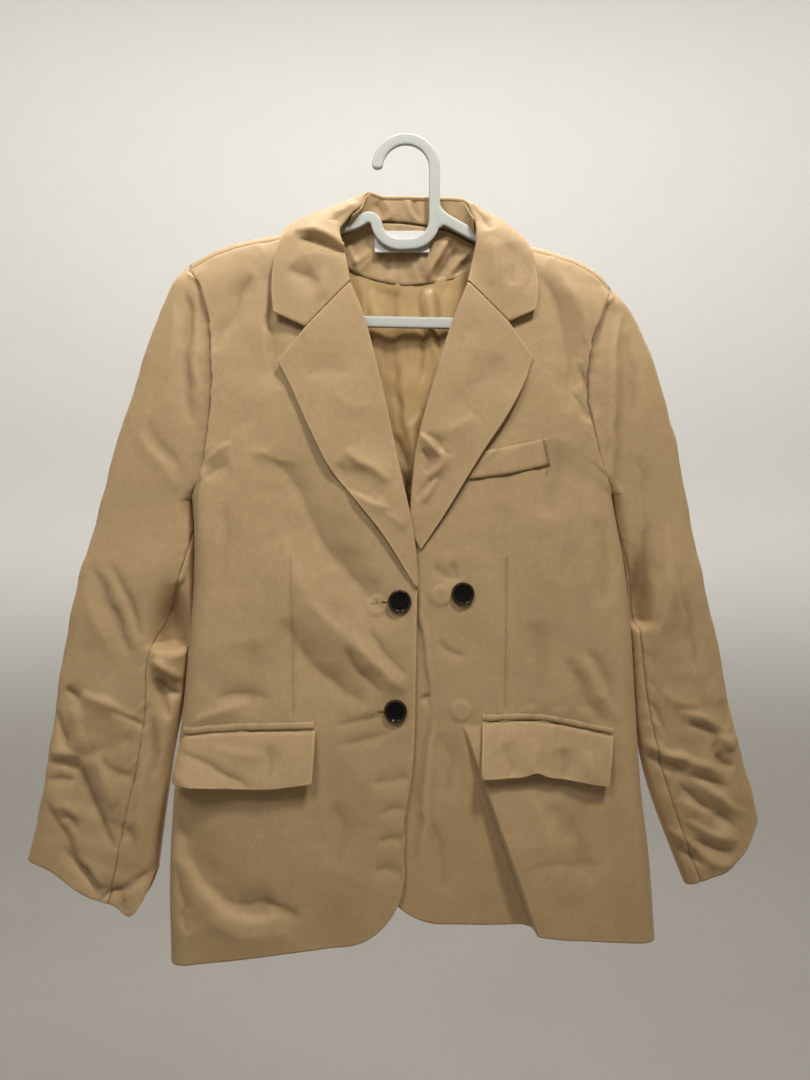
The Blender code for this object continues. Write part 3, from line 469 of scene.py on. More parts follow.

# Creases, listed one by one. A row is height, width on the path's left and on its right, and then
# the path's points as x and z. A positive height is a ridge and a negative one a trough.
RIGHT_CREASES = (
    # Chest, from the shoulder down
    (-3.0, 13, 16, (-124, -115), (-130, -160), (-129, -208), (-122, -250)),
    (-3.0, 8, 14, (-150, -132), (-166, -170), (-184, -208)),
    (0.8, 7, 4, (-150, -306), (-132, -310), (-104, -316)),
    (1.1, 6, 5, (-192, -319), (-181, -309), (-166, -298)),
    (-1.2, 6, 8, (-194, -331), (-181, -323), (-166, -315)),
    (-4.2, 20, 28, (-132, -306), (-104, -340), (-85, -382), (-63, -412), (-36, -442), (-8, -470)),
    (2.2, 16, 22, (-120, -384), (-102, -430), (-66, -476), (-30, -506), (0, -532)),
    (-3.0, 15, 20, (-116, -466), (-98, -496), (-73, -523), (-36, -548)),
    (1.0, 16, 18, (-153, -276), (-155, -333), (-158, -390)),
    (-1.0, 10, 12, (-173, -352), (-170, -400), (-175, -447)),
    # Waist, below the upper button
    (-1.4, 5, 10, (-60, -492), (-46, -510), (-22, -534)),
    (1.3, 6, 9, (-54, -478), (-40, -496), (-20, -514), (0, -534)),
    (-1.4, 6, 7, (-36, -474), (-19, -497), (2, -518)),
    (-0.8, 4, 5, (-71, -568), (-44, -562), (-17, -554)),
    (-0.7, 4, 5, (-65, -585), (-39, -579), (-15, -573)),
    (-1.3, 22, 22, (-149, -485), (-147, -523), (-153, -557)),
    # Above the flap
    (1.5, 6, 9, (-206, -563), (-179, -554), (-147, -545)),
    (-1.4, 7, 9, (-183, -542), (-158, -537), (-125, -542)),
    # Skirt, from the side along the hem, and up the front edge
    (-4.4, 26, 8, (-219, -640), (-211, -680), (-194, -712), (-166, -736), (-120, -736)),
    (2.4, 6, 18, (-216, -664), (-206, -694), (-190, -724), (-160, -748), (-110, -750)),
    (-2.2, 7, 13, (-166, -738), (-146, -744), (-124, -738), (-98, -748)),
    (1.2, 14, 16, (-192, -742), (-158, -764), (-104, -764)),
    (-2.4, 10, 6, (-219, -697), (-214, -728), (-207, -764)),
    (-1.0, 8, 9, (-32, -621), (-15, -615), (2, -617)),
    (-0.9, 5, 6, (-25, -649), (-11, -643), (2, -645)),
    (-0.9, 5, 6, (-29, -676), (-13, -670), (0, -674)),
    (-0.9, 5, 6, (-32, -703), (-17, -697), (-2, -703)),
    (-1.4, 14, 14, (-72, -638), (-58, -666), (-63, -704)),
    # Sleeve head and upper arm
    (-2.2, 8, 6, (-212, -146), (-208, -178), (-206, -208)),
    (1.2, 9, 8, (-226, -158), (-224, -197), (-230, -235)),
    (-1.0, 5, 6, (-249, -272), (-234, -299), (-222, -322)),
    (-2.4, 5, 8, (-214, -150), (-210, -185), (-212, -230), (-204, -280)),
    (1.4, 4, 10, (-206, -150), (-202, -190), (-203, -225), (-197, -262)),
    (-1.2, 5, 6, (-236, -293), (-220, -315), (-208, -338)),
    (1.4, 3, 6, (-262, -284), (-240, -310), (-224, -332), (-212, -350)),
    (1.2, 20, 20, (-247, -380), (-262, -419), (-270, -458)),
    # Forearm: long streaks, then the bent elbow, then the cuff
    (-2.0, 5, 7, (-303, -411), (-286, -446), (-267, -502)),
    (1.1, 5, 5, (-292, -415), (-274, -452), (-257, -498)),
    (-1.7, 4, 5, (-286, -409), (-266, -448), (-251, -486)),
    (1.0, 6, 6, (-315, -428), (-301, -462), (-284, -501)),
    (-3.0, 6, 6, (-332, -533), (-322, -539), (-314, -546)),
    (2.8, 4, 13, (-314, -536), (-286, -547), (-253, -567)),
    (-2.2, 5, 4, (-284, -551), (-268, -560), (-252, -574)),
    (-3.0, 6, 6, (-340, -556), (-334, -575), (-325, -594)),
    (1.6, 7, 7, (-324, -550), (-315, -573), (-305, -594)),
    (1.8, 4, 6, (-347, -595), (-334, -596), (-313, -598)),
    (-2.4, 6, 5, (-349, -606), (-334, -607), (-315, -612)),
    (-2.0, 6, 6, (-350, -625), (-336, -623), (-319, -624)),
    (-3.4, 6, 12, (-322, -590), (-309, -626), (-298, -655), (-280, -694)),
    (-2.2, 5, 9, (-352, -640), (-336, -668), (-318, -700), (-300, -728)),
    (1.8, 9, 9, (-300, -595), (-290, -622), (-282, -647)),
    (-1.4, 5, 5, (-295, -602), (-276, -614), (-257, -622)),
    (1.1, 5, 5, (-342, -652), (-328, -647), (-315, -662)),
    (-1.4, 5, 5, (-338, -664), (-326, -658), (-317, -675)),
    (-2.2, 5, 6, (-334, -689), (-315, -710), (-295, -731)),
    (1.3, 5, 5, (-322, -691), (-305, -710), (-290, -726)),
    (-1.3, 4, 5, (-317, -705), (-307, -722), (-299, -739)),
    (-1.4, 7, 7, (-286, -662), (-272, -672), (-257, -689)),
    # Turned corner of the cuff
    (-2.4, 2.5, 3.5, (-304, -742), (-268, -722), (-232, -699)),
    (5.0, 20, 20, (-288, -756), (-264, -760), (-248, -738), (-240, -712)),
    # Under sleeve beside the body: a hollow under the seam, a shelf and a bulge below it
    (-2.2, 8, 3, (-206, -408), (-222, -440), (-235, -466), (-245, -490)),
    (3.0, 3, 10, (-250, -494), (-236, -500), (-222, -503), (-208, -498)),
    (5.0, 6, 5, (-244, -506), (-230, -515), (-214, -526)),
    (-4.5, 5, 6, (-244, -524), (-232, -535), (-220, -540)),
    (-3.5, 5, 5, (-238, -530), (-235, -548), (-228, -564)),
    (2.0, 5, 6, (-226, -540), (-229, -575), (-238, -610)),
    (-2.4, 5, 5, (-246, -560), (-242, -590), (-246, -620)),
    (1.8, 6, 6, (-252, -600), (-256, -640), (-258, -690)),
    # Body's side, turned away from the front below the armpit
    (2.4, 12, 3, (-195, -318), (-199, -370), (-205, -432)),
    # Pocket flap's drag and the pressed line beside the collar
    (1.6, 4, 10, (-132, -140), (-137, -185), (-135, -230)),
)
LEFT_CREASES = (
    # Chest, from the shoulder down
    (-3.4, 13, 12, (122, -125), (143, -157), (154, -195), (157, -238), (150, -266)),
    (1.4, 10, 10, (139, -125), (166, -161), (175, -204)),
    (-2.0, 6, 5, (169, -218), (171, -247), (177, -280)),
    (-1.2, 4, 4, (158, -249), (168, -260), (175, -277)),
    (0.9, 4, 4, (164, -239), (173, -257), (179, -271)),
    (-1.8, 20, 20, (147, -295), (143, -333), (135, -371)),
    # Waist and side
    (1.3, 5, 6, (164, -497), (173, -516), (189, -546)),
    (-1.2, 5, 5, (155, -500), (165, -522), (177, -548)),
    (-1.1, 5, 5, (175, -493), (185, -512), (198, -542)),
    (0.9, 4, 5, (180, -533), (191, -544), (202, -562)),
    (-1.0, 5, 5, (170, -542), (181, -554), (191, -565)),
    (0.5, 3, 3, (134, -398), (140, -423), (146, -443)),
    (0.5, 3, 3, (152, -409), (158, -447), (156, -485)),
    (-1.4, 16, 16, (123, -466), (132, -504), (128, -542)),
    (-1.2, 10, 10, (185, -370), (190, -410), (188, -456)),
    (1.0, 12, 12, (171, -333), (177, -390), (175, -447)),
    # Round the upper button and down the front edge
    (-0.9, 5, 5, (26, -415), (38, -422), (50, -430)),
    (-0.9, 5, 5, (43, -409), (48, -420), (51, -431)),
    (-0.8, 4, 5, (29, -485), (40, -497), (57, -501)),
    (-1.2, 1.6, 9, (7, -412), (13, -470), (18, -514), (24, -556)),
    (0.9, 3, 1.6, (10, -412), (16, -470), (21, -514), (27, -554)),
    (-1.2, 1.6, 9, (24, -552), (21, -580), (17, -612), (11, -710)),
    (0.9, 3, 1.6, (27, -552), (24, -580), (20, -612), (14, -710)),
    (-1.2, 3, 3, (12, -541), (18, -541), (25, -538)),
    (-1.5, 12, 12, (32, -571), (42, -600), (40, -638)),
    (-1.0, 8, 10, (23, -657), (32, -685), (38, -724)),
    # Jet's tucks
    (0.7, 4, 4, (115, -546), (117, -552), (120, -558)),
    (0.7, 4, 4, (143, -548), (144, -554), (147, -560)),
    (0.7, 4, 4, (164, -548), (168, -556), (172, -563)),
    # Skirt
    (-0.7, 7, 8, (109, -697), (145, -693), (190, -701)),
    (-1.6, 16, 16, (132, -638), (161, -666), (175, -714)),
    (1.4, 14, 12, (109, -619), (132, -666), (147, -733)),
    (-1.0, 8, 8, (175, -576), (190, -600), (198, -638)),
    # Pressed crease of the sleeve head, and the deep fold beside the body
    (2.8, 3, 10, (214, -160), (204, -197), (199, -240), (198, -291), (201, -328), (211, -359),
     (219, -400)),
    (-4.0, 9, 5, (225, -308), (230, -351), (232, -404), (233, -459)),
    (2.4, 14, 8, (249, -322), (253, -380), (249, -448), (241, -506)),
    (-1.6, 6, 5, (249, -274), (261, -303), (268, -342)),
    (0.8, 3, 4, (253, -409), (261, -448), (274, -486)),
    (-1.2, 6, 7, (270, -448), (276, -486), (284, -525)),
    (-1.4, 8, 8, (214, -187), (218, -226), (220, -274)),
    (1.1, 12, 12, (220, -197), (230, -245), (235, -294)),
    # Bunched forearm
    (2.0, 5, 8, (262, -556), (288, -560), (313, -579)),
    (-2.0, 5, 6, (268, -568), (289, -571), (307, -585)),
    (2.6, 6, 6, (301, -581), (311, -585), (318, -595)),
    (-2.6, 5, 5, (299, -598), (307, -606), (320, -610)),
    (-1.4, 4, 5, (303, -583), (299, -593), (305, -604)),
    (2.2, 5, 8, (226, -585), (249, -595), (274, -600)),
    (-2.4, 5, 5, (230, -598), (253, -608), (274, -614)),
    (2.4, 5, 8, (251, -593), (280, -606), (311, -614)),
    (-2.4, 5, 5, (264, -616), (289, -624), (316, -631)),
    (2.6, 5, 8, (266, -614), (295, -633), (330, -658)),
    (-2.4, 5, 5, (261, -627), (288, -647), (320, -670)),
    (2.0, 5, 7, (261, -641), (282, -649), (303, -656)),
    (2.2, 5, 8, (272, -662), (297, -674), (324, -681)),
    (-2.2, 5, 5, (274, -678), (295, -687), (320, -695)),
    (2.0, 5, 8, (249, -668), (268, -678), (291, -695)),
    (-1.8, 5, 5, (257, -685), (274, -695), (289, -707)),
    (1.6, 5, 7, (280, -691), (301, -703), (320, -705)),
    (-1.4, 4, 4, (233, -544), (245, -560), (253, -579)),
    (1.4, 8, 8, (245, -535), (261, -544), (284, -548)),
    (-1.5, 6, 6, (303, -544), (309, -560), (311, -573)),
)
# Both halves of the back and the backs of the sleeves, at their own x
BACK_CREASES = (
    (-2.6, 14, 16, (-60, -130), (-66, -190), (-58, -250)),
    (-2.2, 15, 13, (64, -135), (58, -200), (66, -270)),
    (-1.6, 8, 10, (-176, -215), (-150, -245), (-110, -262)),
    (1.5, 8, 9, (-182, -232), (-156, -262), (-118, -282)),
    (-1.8, 9, 8, (172, -225), (140, -256), (104, -270)),
    (1.3, 9, 9, (178, -246), (150, -276), (112, -296)),
    (-1.5, 12, 12, (-120, -330), (-128, -400), (-112, -460)),
    (1.6, 16, 14, (-84, -420), (-92, -520), (-80, -620)),
    (-2.2, 14, 18, (-140, -520), (-150, -620), (-138, -720)),
    (-1.8, 16, 14, (70, -440), (62, -540), (74, -650)),
    (1.7, 15, 15, (118, -480), (126, -590), (116, -700)),
    (-2.0, 12, 14, (170, -540), (178, -630), (168, -730)),
    (-1.1, 7, 7, (-60, -398), (-20, -404), (30, -398)),
    (0.9, 6, 8, (-48, -414), (0, -420), (44, -412)),
    (-2.0, 7, 8, (-322, -470), (-296, -484), (-262, -480)),
    (1.8, 7, 9, (-330, -488), (-300, -502), (-266, -500)),
    (-2.2, 7, 8, (-338, -520), (-306, -530), (-268, -548)),
    (-1.6, 6, 7, (-346, -600), (-316, -616), (-280, -618)),
    (1.7, 7, 8, (-350, -620), (-320, -640), (-284, -650)),
    (-1.4, 8, 8, (-262, -260), (-272, -310), (-282, -370)),
    (-2.0, 7, 8, (296, -450), (272, -462), (244, -458)),
    (1.9, 7, 9, (302, -472), (276, -486), (246, -486)),
    (-2.1, 7, 8, (316, -560), (290, -580), (256, -590)),
    (1.7, 7, 8, (322, -584), (294, -606), (262, -622)),
    (-1.7, 6, 7, (330, -630), (304, -650), (276, -664)),
    (-1.4, 8, 8, (244, -250), (254, -310), (262, -370)),
)
LAPEL_CREASES = (
    # Right lapel
    (-2.0, 8, 12, (-66, -318), (-42, -338), (-18, -346)),
    (2.2, 12, 5, (-58, -304), (-36, -322), (-12, -334)),
    (1.4, 4, 9, (-52, -342), (-34, -356), (-12, -360)),
    (0.8, 10, 12, (-30, -260), (-50, -262), (-72, -250)),
    (-1.1, 14, 14, (-96, -236), (-74, -226), (-52, -232)),
    (0.8, 6, 7, (-20, -366), (-10, -372), (0, -376)),
    # Left lapel
    (1.2, 16, 10, (66, -270), (48, -284), (30, -292)),
    (3.0, 3, 7, (13, -290), (24, -299), (33, -312)),
    (2.4, 6, 3, (36, -298), (33, -314), (22, -332)),
    (-1.8, 3, 4, (19, -290), (30, -297), (41, -312)),
    (-1.6, 3, 4, (15, -303), (20, -314), (17, -326)),
    (1.6, 3, 5, (30, -330), (24, -344), (16, -356)),
    (-1.2, 4, 4, (24, -330), (18, -342), (10, -352)),
    (-1.0, 14, 14, (90, -214), (76, -236), (56, -246)),
    (0.9, 12, 12, (60, -190), (58, -222), (48, -250)),
)
COLLAR_CREASES = (
    (-3.4, 2.5, 12, (-104, -99), (-86, -102), (-68, -110), (-52, -118)),
    (2.6, 11, 2.5, (-108, -92), (-88, -95), (-70, -103), (-52, -112)),
    (1.6, 5, 8, (-100, -119), (-82, -117), (-66, -118), (-54, -120)),
    (-3.0, 12, 14, (-112, -132), (-96, -136), (-80, -144)),
    (0.9, 8, 8, (-94, -120), (-84, -140), (-76, -160)),
    (-1.5, 6, 6, (-52, -66), (-62, -76), (-76, -84)),
    (1.3, 5, 5, (-46, -60), (-58, -70), (-72, -76)),
    (-1.8, 6, 7, (64, -62), (76, -76), (84, -92)),
    (1.2, 5, 6, (60, -56), (70, -66), (80, -78)),
    (-1.5, 10, 12, (98, -104), (104, -126), (100, -148)),
    (0.9, 9, 9, (82, -100), (86, -124), (82, -148)),
    (-0.9, 7, 7, (112, -118), (118, -136), (114, -156)),
)
INSIDE_CREASES = (
    # Back neck facing
    (3.2, 2.5, 9, (44, -88), (36, -104), (20, -131)),
    (-2.6, 7, 3, (52, -98), (42, -112), (28, -132)),
    (1.8, 3, 6, (66, -100), (54, -112), (40, -126)),
    (-1.8, 4, 4, (70, -108), (58, -118), (46, -128)),
    (1.6, 3, 6, (-58, -92), (-50, -110), (-46, -126)),
    (1.6, 3, 5, (-28, -92), (-40, -106), (-52, -118)),
    (1.2, 4, 4, (30, -88), (20, -104), (12, -120)),
    (-1.2, 5, 5, (-40, -92), (-50, -104), (-56, -116)),
    (1.1, 4, 5, (-30, -100), (-40, -114), (-46, -124)),
    (-0.9, 4, 4, (-14, -108), (-20, -120), (-24, -130)),
    (0.8, 4, 4, (2, -106), (8, -118), (10, -130)),
)
LINING_CREASES = (
    (-1.8, 2, 8, (-10, -132), (-11, -180), (-8, -240), (2, -300)),
    (-1.2, 2, 4, (16, -132), (15, -160), (18, -196), (14, -240)),
    (1.6, 6, 3, (20, -132), (24, -170), (30, -210)),
    (-1.5, 4, 5, (26, -136), (32, -170), (38, -214)),
    (1.3, 6, 6, (-34, -134), (-32, -190), (-26, -250)),
    (-1.3, 6, 6, (-48, -130), (-44, -190), (-36, -250)),
    (1.2, 7, 6, (44, -134), (40, -180), (32, -240)),
    (1.8, 5, 6, (-24, -290), (-14, -304), (-6, -320), (0, -338)),
    (-1.8, 5, 5, (-14, -284), (-4, -298), (4, -318)),
    (1.6, 4, 5, (14, -262), (6, -280), (8, -306), (2, -334)),
    (-1.5, 4, 5, (22, -256), (16, -276), (16, -300)),
    (1.4, 5, 5, (-18, -318), (-8, -334), (4, -350)),
    (-1.4, 4, 4, (-10, -312), (2, -330), (10, -344)),
)
STAND_CREASES = (
    (1.5, 3, 4, (2, -50), (5, -60), (9, -72)),
    (-1.2, 3, 3, (8, -50), (10, -60), (14, -72)),
    (-1.4, 5, 5, (-32, -52), (-26, -60), (-22, -70)),
    (1.1, 4, 5, (-24, -52), (-18, -60), (-15, -70)),
    (-1.0, 4, 4, (36, -54), (38, -64), (42, -76)),
)
FLAP_CREASES = (
    (-1.4, 4, 5, (-214, -588), (-180, -604), (-144, -624)),
    (2.4, 16, 12, (-222, -604), (-200, -620), (-170, -628)),
    (0.8, 5, 5, (-196, -578), (-166, -588), (-130, -592)),
    (-1.0, 10, 10, (-130, -580), (-126, -600), (-128, -618)),
    (1.3, 6, 8, (117, -572), (119, -590), (122, -614)),
    (-1.4, 9, 9, (92, -580), (98, -598), (96, -616)),
    (-1.6, 8, 9, (146, -584), (148, -600), (146, -616)),
    (1.3, 8, 8, (170, -588), (174, -604), (172, -622)),
)
# A wave texture repeats every so many metres at scale 1: its diagonal bands and its upright ones
DIAGONAL_WAVE = 0.628
UPRIGHT_WAVE = 0.314
# Small round marks where the hidden buttons press through: x and z
BUTTON_MARKS = ((-28, -452), (33, -443), (52, -552))
MARK_RADIUS = 9.5
MARK_HEIGHT = 1.0
MARK_EDGE = 1.6
# Darts: x and z of both ends
DARTS = {-1: ((-110, -402), (-107, -560)), 1: ((96, -402), (94, -553))}
DART_DIP = 1.0
DART_REACH = 3.0
# Shares of a dart's length over which it deepens at its top and at its foot
DART_ENDS = (0.1, 0.05)

# Buttonholes' middles, and loose thread ends on the right front (-1) and the left one: x and z
BUTTONHOLES = ((-17.5, -448), (-21.5, -551))
LOOSE_ENDS = (
    (-1, ((-26, -449), (-29, -447), (-31, -450), (-34, -449))),
    (-1, ((-30, -551), (-33, -553), (-36, -550), (-38, -552))),
    (1, ((136, -317), (137, -321), (134, -324), (135, -328))),
    (1, ((72, -566), (70, -571), (73, -575), (71, -580))),
)
# A way that no thread runs: each ring's first point lies square to it
THREAD_SIDE = (0.31, 0.2, 0.93)
# Half a buttonhole's length, its count of stitches and how far every other one of them reaches
BUTTONHOLE_HALF = 5.0
BUTTONHOLE_COUNT = 15
BUTTONHOLE_REACH = (1.5, 1.7)
# The bar tacks run down the welt's outer end: the first one's place, the way to the last one, and
# each one's points from its middle
TACK_COUNT = 13
TACK_START = (131.5, -293.5)
TACK_WAY = (4.6, -23.0)
TACK_X = (-1.6, -0.6, 0.6, 1.4)
TACK_Z = (0.2, 0.1, -0.1, -0.2)
# How far stitches, tacks, dart seams and loose ends stand out of the cloth's middle
STITCH_OUT = (1.0, 1.35, 1.35, 1.0)
TACK_OUT = (3.2, 4.1, 4.1, 3.2)
DART_OUT = SHELL_CLOTH / 2 + 0.08
LOOSE_OUT = (1.4, 1.5)
LOOSE_STEPS = 16

# Grids: points across and down each sheet
GRIDS = {
    "front": (124, 335),
    "back": (56, 180),
    "sleeve_top": (104, 265),
    "sleeve_under": (36, 150),
    "lapel": (40, 140),
    "collar_fall": (54, 270),
    "collar_stand": (20, 120),
    "neck_facing": (110, 40),
    "lining": (100, 150),
    "label": (40, 20),
    "flap": (90, 30),
    "jet": (90, 14),
}
# Rows of the back's grid that run over the shoulder's crest
OVER_SHOULDER = 16
# The left front's columns near its deep fold: from, to and how many. The rest get closer towards
# the side.
FOLD_COLUMNS = ((0, 0.3, 34), (0.3, 0.38, 13), (0.38, 0.435, 21), (0.435, 0.6, 21))
SIDE_COLUMNS = 35
BUTTON_SEGMENTS = 48
BUTTON_STEPS = 4
FILLET_STEPS = 16
HOOK_STEPS = 60
BAR_SEGMENTS = 32

# Stage, in metres: the cove's floor, its bend and its wall, and where the camera stands
FLOOR_Z = -1.65
FLOOR_RADIUS = 3.0
COVE_RADIUS = 1.8
WALL_TOP = 4.6
# Height over which the cove's colour goes from the floor's to the wall's: partly a darker floor,
# partly painted shade for light falling off towards the bottom
SHADE_HEIGHT = 1.4
CAMERA_PLACE = (-0.001, -0.8, -0.39)
# Lights: place, the point lit, spread in degrees, size and colour
LIGHTS = {
    "key": ((0.45, -0.85, 1.05), (0, 0, -0.12), 110, 0.26, (1.0, 0.985, 0.955)),
    "fill": ((-0.55, -1.2, 0.9), (-0.26, 0, -0.22), 64, 0.6, (0.97, 0.98, 1.0)),
    "back": ((0.6, 2.2, 1.1), (0, 0, -0.4), 70, 1.4, (1.0, 0.98, 0.95)),
    "cove": ((0.0, 1.0, 3.6), (0, 3.2, -1.65), 180, 1.6, (1.0, 0.985, 0.96)),
}


def columns(names, table, at):
    """A table's rows at fractional row numbers, as columns by their names."""
    values = smooth_rows(table, at)
    return {name: values[..., k] for k, name in enumerate(names)}


def cubic(t, first, last, first_slope, last_slope):
    """The cubic from one value to another over t = 0 to 1, with the slopes at its ends."""
    return (
        (2 * t**3 - 3 * t**2 + 1) * first + (t**3 - 2 * t**2 + t) * first_slope
        + (3 * t**2 - 2 * t**3) * last + (t**3 - t**2) * last_slope
    )


def smooth_rows(table, at):
    """Rows of a table at fractional row numbers, on a cubic through the table's own rows."""
    table = np.asarray(table, float)
    at = np.clip(np.asarray(at, float), 0, len(table) - 1)
    slope = np.gradient(table, axis=0)
    low = np.minimum(at.astype(int), len(table) - 2)
    return cubic((at - low)[..., None], table[low], table[low + 1], slope[low], slope[low + 1])


def smooth_between(x, xs, ys):
    """A cubic through a table's points, at any x; the xs go up."""
    xs, ys = np.asarray(xs, float), np.asarray(ys, float)
    x = np.clip(x, xs[0], xs[-1])
    low = np.minimum(np.interp(x, xs, np.arange(len(xs))).astype(int), len(xs) - 2)
    slope = np.gradient(ys, xs)
    width = xs[low + 1] - xs[low]
    return cubic(
        (x - xs[low]) / width, ys[low], ys[low + 1], width * slope[low], width * slope[low + 1],
    )


def ease(t):
    """0 below 0, 1 above 1, smooth between: t * t * (3 - 2 t)."""
    t = np.clip(t, 0, 1)
    return t * t * (3 - 2 * t)


def round_off(distance, radius, power):
    """Superellipse quarter: 0 at an outline, 1 from the radius inwards."""
    reach = 1 - np.clip(distance / radius, 0, 1)
    return (1 - reach**power) ** (1 / power)


def unit(vectors):
    """Vectors at length one."""
    return vectors / np.maximum(np.linalg.norm(vectors, axis=-1, keepdims=True), 1e-9)


def soft_noise(x, z, size, seed):
    """Random heights from -1 to 1 on a square net of that size, joined by smooth steps."""
    cells = 64
    heights = np.random.default_rng(seed).uniform(-1, 1, (cells, cells))
    a, b = x / size, z / size
    i, j = np.floor(a).astype(int), np.floor(b).astype(int)
    s, t = a - i, b - j
    s, t = s**3 * (s * (6 * s - 15) + 10), t**3 * (t * (6 * t - 15) + 10)
    i, j, k, m = i % cells, j % cells, (i + 1) % cells, (j + 1) % cells
    upper = heights[i, j] * (1 - s) + heights[k, j] * s
    lower = heights[i, m] * (1 - s) + heights[k, m] * s
    return upper * (1 - t) + lower * t


def outline_x(rows, column, z):
    """Distance from the centre of the line down one table column, at the height z."""
    line = smooth_rows(rows, np.linspace(0, len(rows) - 1, OUTLINE_SAMPLES))[::-1]
    return np.interp(z, line[:, column + 1], np.abs(line[:, column]))


def body_round(x, z):
    """How full the body is at a place: 0 on its outline, 1 inside.

    The outline is that of the sleeve heads above the armpits and that of the sides below them.
    """
    arms, fronts = (SLEEVE_RIGHT, SLEEVE_LEFT), (FRONT_RIGHT, FRONT_LEFT)
    head = np.where(x < 0, *(outline_x(rows, 0, z) for rows in arms))
    side = np.where(x < 0, *(outline_x(rows[ARMPIT_ROW:], 2, z) for rows in fronts))
    above = round_off(head - np.abs(x), SLEEVE_HEAD_ROUND, HEAD_POWER)
    below = round_off(side - np.abs(x), SIDE_ROUND, SIDE_POWER)
    low, high = ARMPIT_BLEND
    mix = ease((low - z) / (low - high))
    return above * (1 - mix) + below * mix


def shoulder_crest(x):
    """Height of the shoulder's top line."""
    return smooth_between(x, CREST["x"], CREST["z"])


def body_depth(x, z, side):
    """How far the middle of the front or back cloth stands from the hanger's plane."""
    full = smooth_between(z, BODY_DEPTH["z"], BODY_DEPTH[side])
    return full * round_off(shoulder_crest(x) - z, CREST_ROUND, 2) * body_round(x, z)


def overlap_lift(x, z):
    """How far the right front is lifted where it laps over the left one."""
    (from_x, from_z), (grow_x, grow_z) = OVERLAP_START, OVERLAP_GROWTH
    return OVERLAP_LIFT * ease((x - from_x) / grow_x) * ease((from_z - z) / grow_z)


def pleat_line(z):
    """The fold's edge in the left front at the height z."""
    along = (z - PLEAT_TOP[1]) / (PLEAT_FOOT[1] - PLEAT_TOP[1])
    return PLEAT_TOP[0] + np.clip(along, 0, 1) * (PLEAT_FOOT[0] - PLEAT_TOP[0])


def pleat_lift(x, z):
    """The deep fold: a steep rise on its inner side that fades out towards the side seam."""
    grow = np.clip((PLEAT_TOP[1] - z) / PLEAT_OPENS, 0, 1) ** PLEAT_GROWTH
    beyond = x - pleat_line(z)
    rise = np.clip((beyond + PLEAT_SLOPE) / PLEAT_SLOPE, 0, 1) ** PLEAT_POWER
    fade = np.exp(-((np.maximum(beyond, 0) / PLEAT_FADE) ** 2))
    return PLEAT_HEIGHT * grow * rise * fade


def corner_rise(from_edge, radius):
    """How far a rounded corner lifts an edge at a distance from its end: a quarter circle."""
    reach = 1 - np.clip(from_edge / radius, 0, 1)
    return radius * (1 - np.sqrt(1 - reach**2))


def crease(x, z, row):
    """One crease of a table: height * exp(-(distance / width)^power), thinner towards its ends.

    The distance is that from the nearest point of the path, and each side has its own width.
    """
    height, width_left, width_right, *points = row
    last = len(points) - 1
    line = smooth_rows(points, np.linspace(0, last, CREASE_STEPS * last + 1))
    far = CREASE_FAR * max(width_left, width_right)
    low, high = line.min(axis=0) - far, line.max(axis=0) + far
    near = (x > low[0]) & (x < high[0]) & (z > low[1]) & (z < high[1])
    out = np.zeros(x.shape)
    if not near.any():
        return out
    step = np.diff(line, axis=0)
    length = np.linalg.norm(step, axis=1)
    from_x = x[near][:, None] - line[:-1, 0]
    from_z = z[near][:, None] - line[:-1, 1]
    along = np.clip((from_x * step[:, 0] + from_z * step[:, 1]) / length**2, 0, 1)
    from_x, from_z = from_x - along * step[:, 0], from_z - along * step[:, 1]
    distance = np.hypot(from_x, from_z)
    nearest = distance.argmin(axis=1)
    pick = (np.arange(len(nearest)), nearest)
    turn = step[nearest, 0] * from_z[pick] - step[nearest, 1] * from_x[pick]
    before = np.concatenate([[0], np.cumsum(length)])
    place = (before[nearest] + along[pick] * length[nearest]) / before[-1]
    ends = 1 - np.abs(2 * place - 1) ** CREASE_ENDS
    width = np.where(turn > 0, width_left, width_right)
    width = width * (CREASE_END_WIDTH + (1 - CREASE_END_WIDTH) * ends)
    out[near] = height * ends * np.exp(-((distance[pick] / width) ** CREASE_POWER))
    return out


def creased(x, z, table):
    """All creases of a table together, at the set depth, on paths that wander a little."""
    x = x + CREASE_WANDER * soft_noise(x, z, WANDER_SIZE["x"], seed=41)
    z = z + CREASE_WANDER * soft_noise(x, z, WANDER_SIZE["z"], seed=42)
    return bpy.context.scene.blazer_cloth.fold_depth * sum(crease(x, z, row) for row in table)


def unevenness(x, z, layers, forearm=0.0):
    """Soft unevenness from the rows of a table: noise on slanted nets, added up."""
    return sum(
        (height + more * forearm) * soft_noise(xx * x + xz * z, zx * x + zz * z, size, seed)
        for height, more, size, seed, (xx, xz), (zx, zz) in layers
    )


def front_folds(x, z, sign):
    """What moves the front cloth out: creases, darts, button marks and a soft unevenness.

    It fades out at the shoulder seam, where the back joins on.
    """
    out = creased(x, z, RIGHT_CREASES if sign < 0 else LEFT_CREASES)
    (top_x, top_z), (foot_x, foot_z) = DARTS[sign]
    along = (z - top_z) / (foot_z - top_z)
    off = x - (top_x + (foot_x - top_x) * along)
    ends = ease(along / DART_ENDS[0]) * ease((1 - along) / DART_ENDS[1])
    out = out - DART_DIP * np.exp(-((off / DART_REACH) ** 2)) * ends
    for mark_x, mark_z in BUTTON_MARKS:
        inside = MARK_RADIUS - np.hypot(x - mark_x, z - mark_z)
        out = out + MARK_HEIGHT * ease(0.5 + inside / MARK_EDGE)
    forearm = ease((np.abs(x) - FOREARM["x"]) / FOREARM["grow_x"])
    forearm = forearm * ease((FOREARM["z"] - z) / FOREARM["grow_z"])
    out = out + unevenness(x, z, FRONT_UNEVENNESS, forearm)
    return out * ease((shoulder_crest(x) - SHOULDER_SEAM_DROP - z) / SHOULDER_FADE)


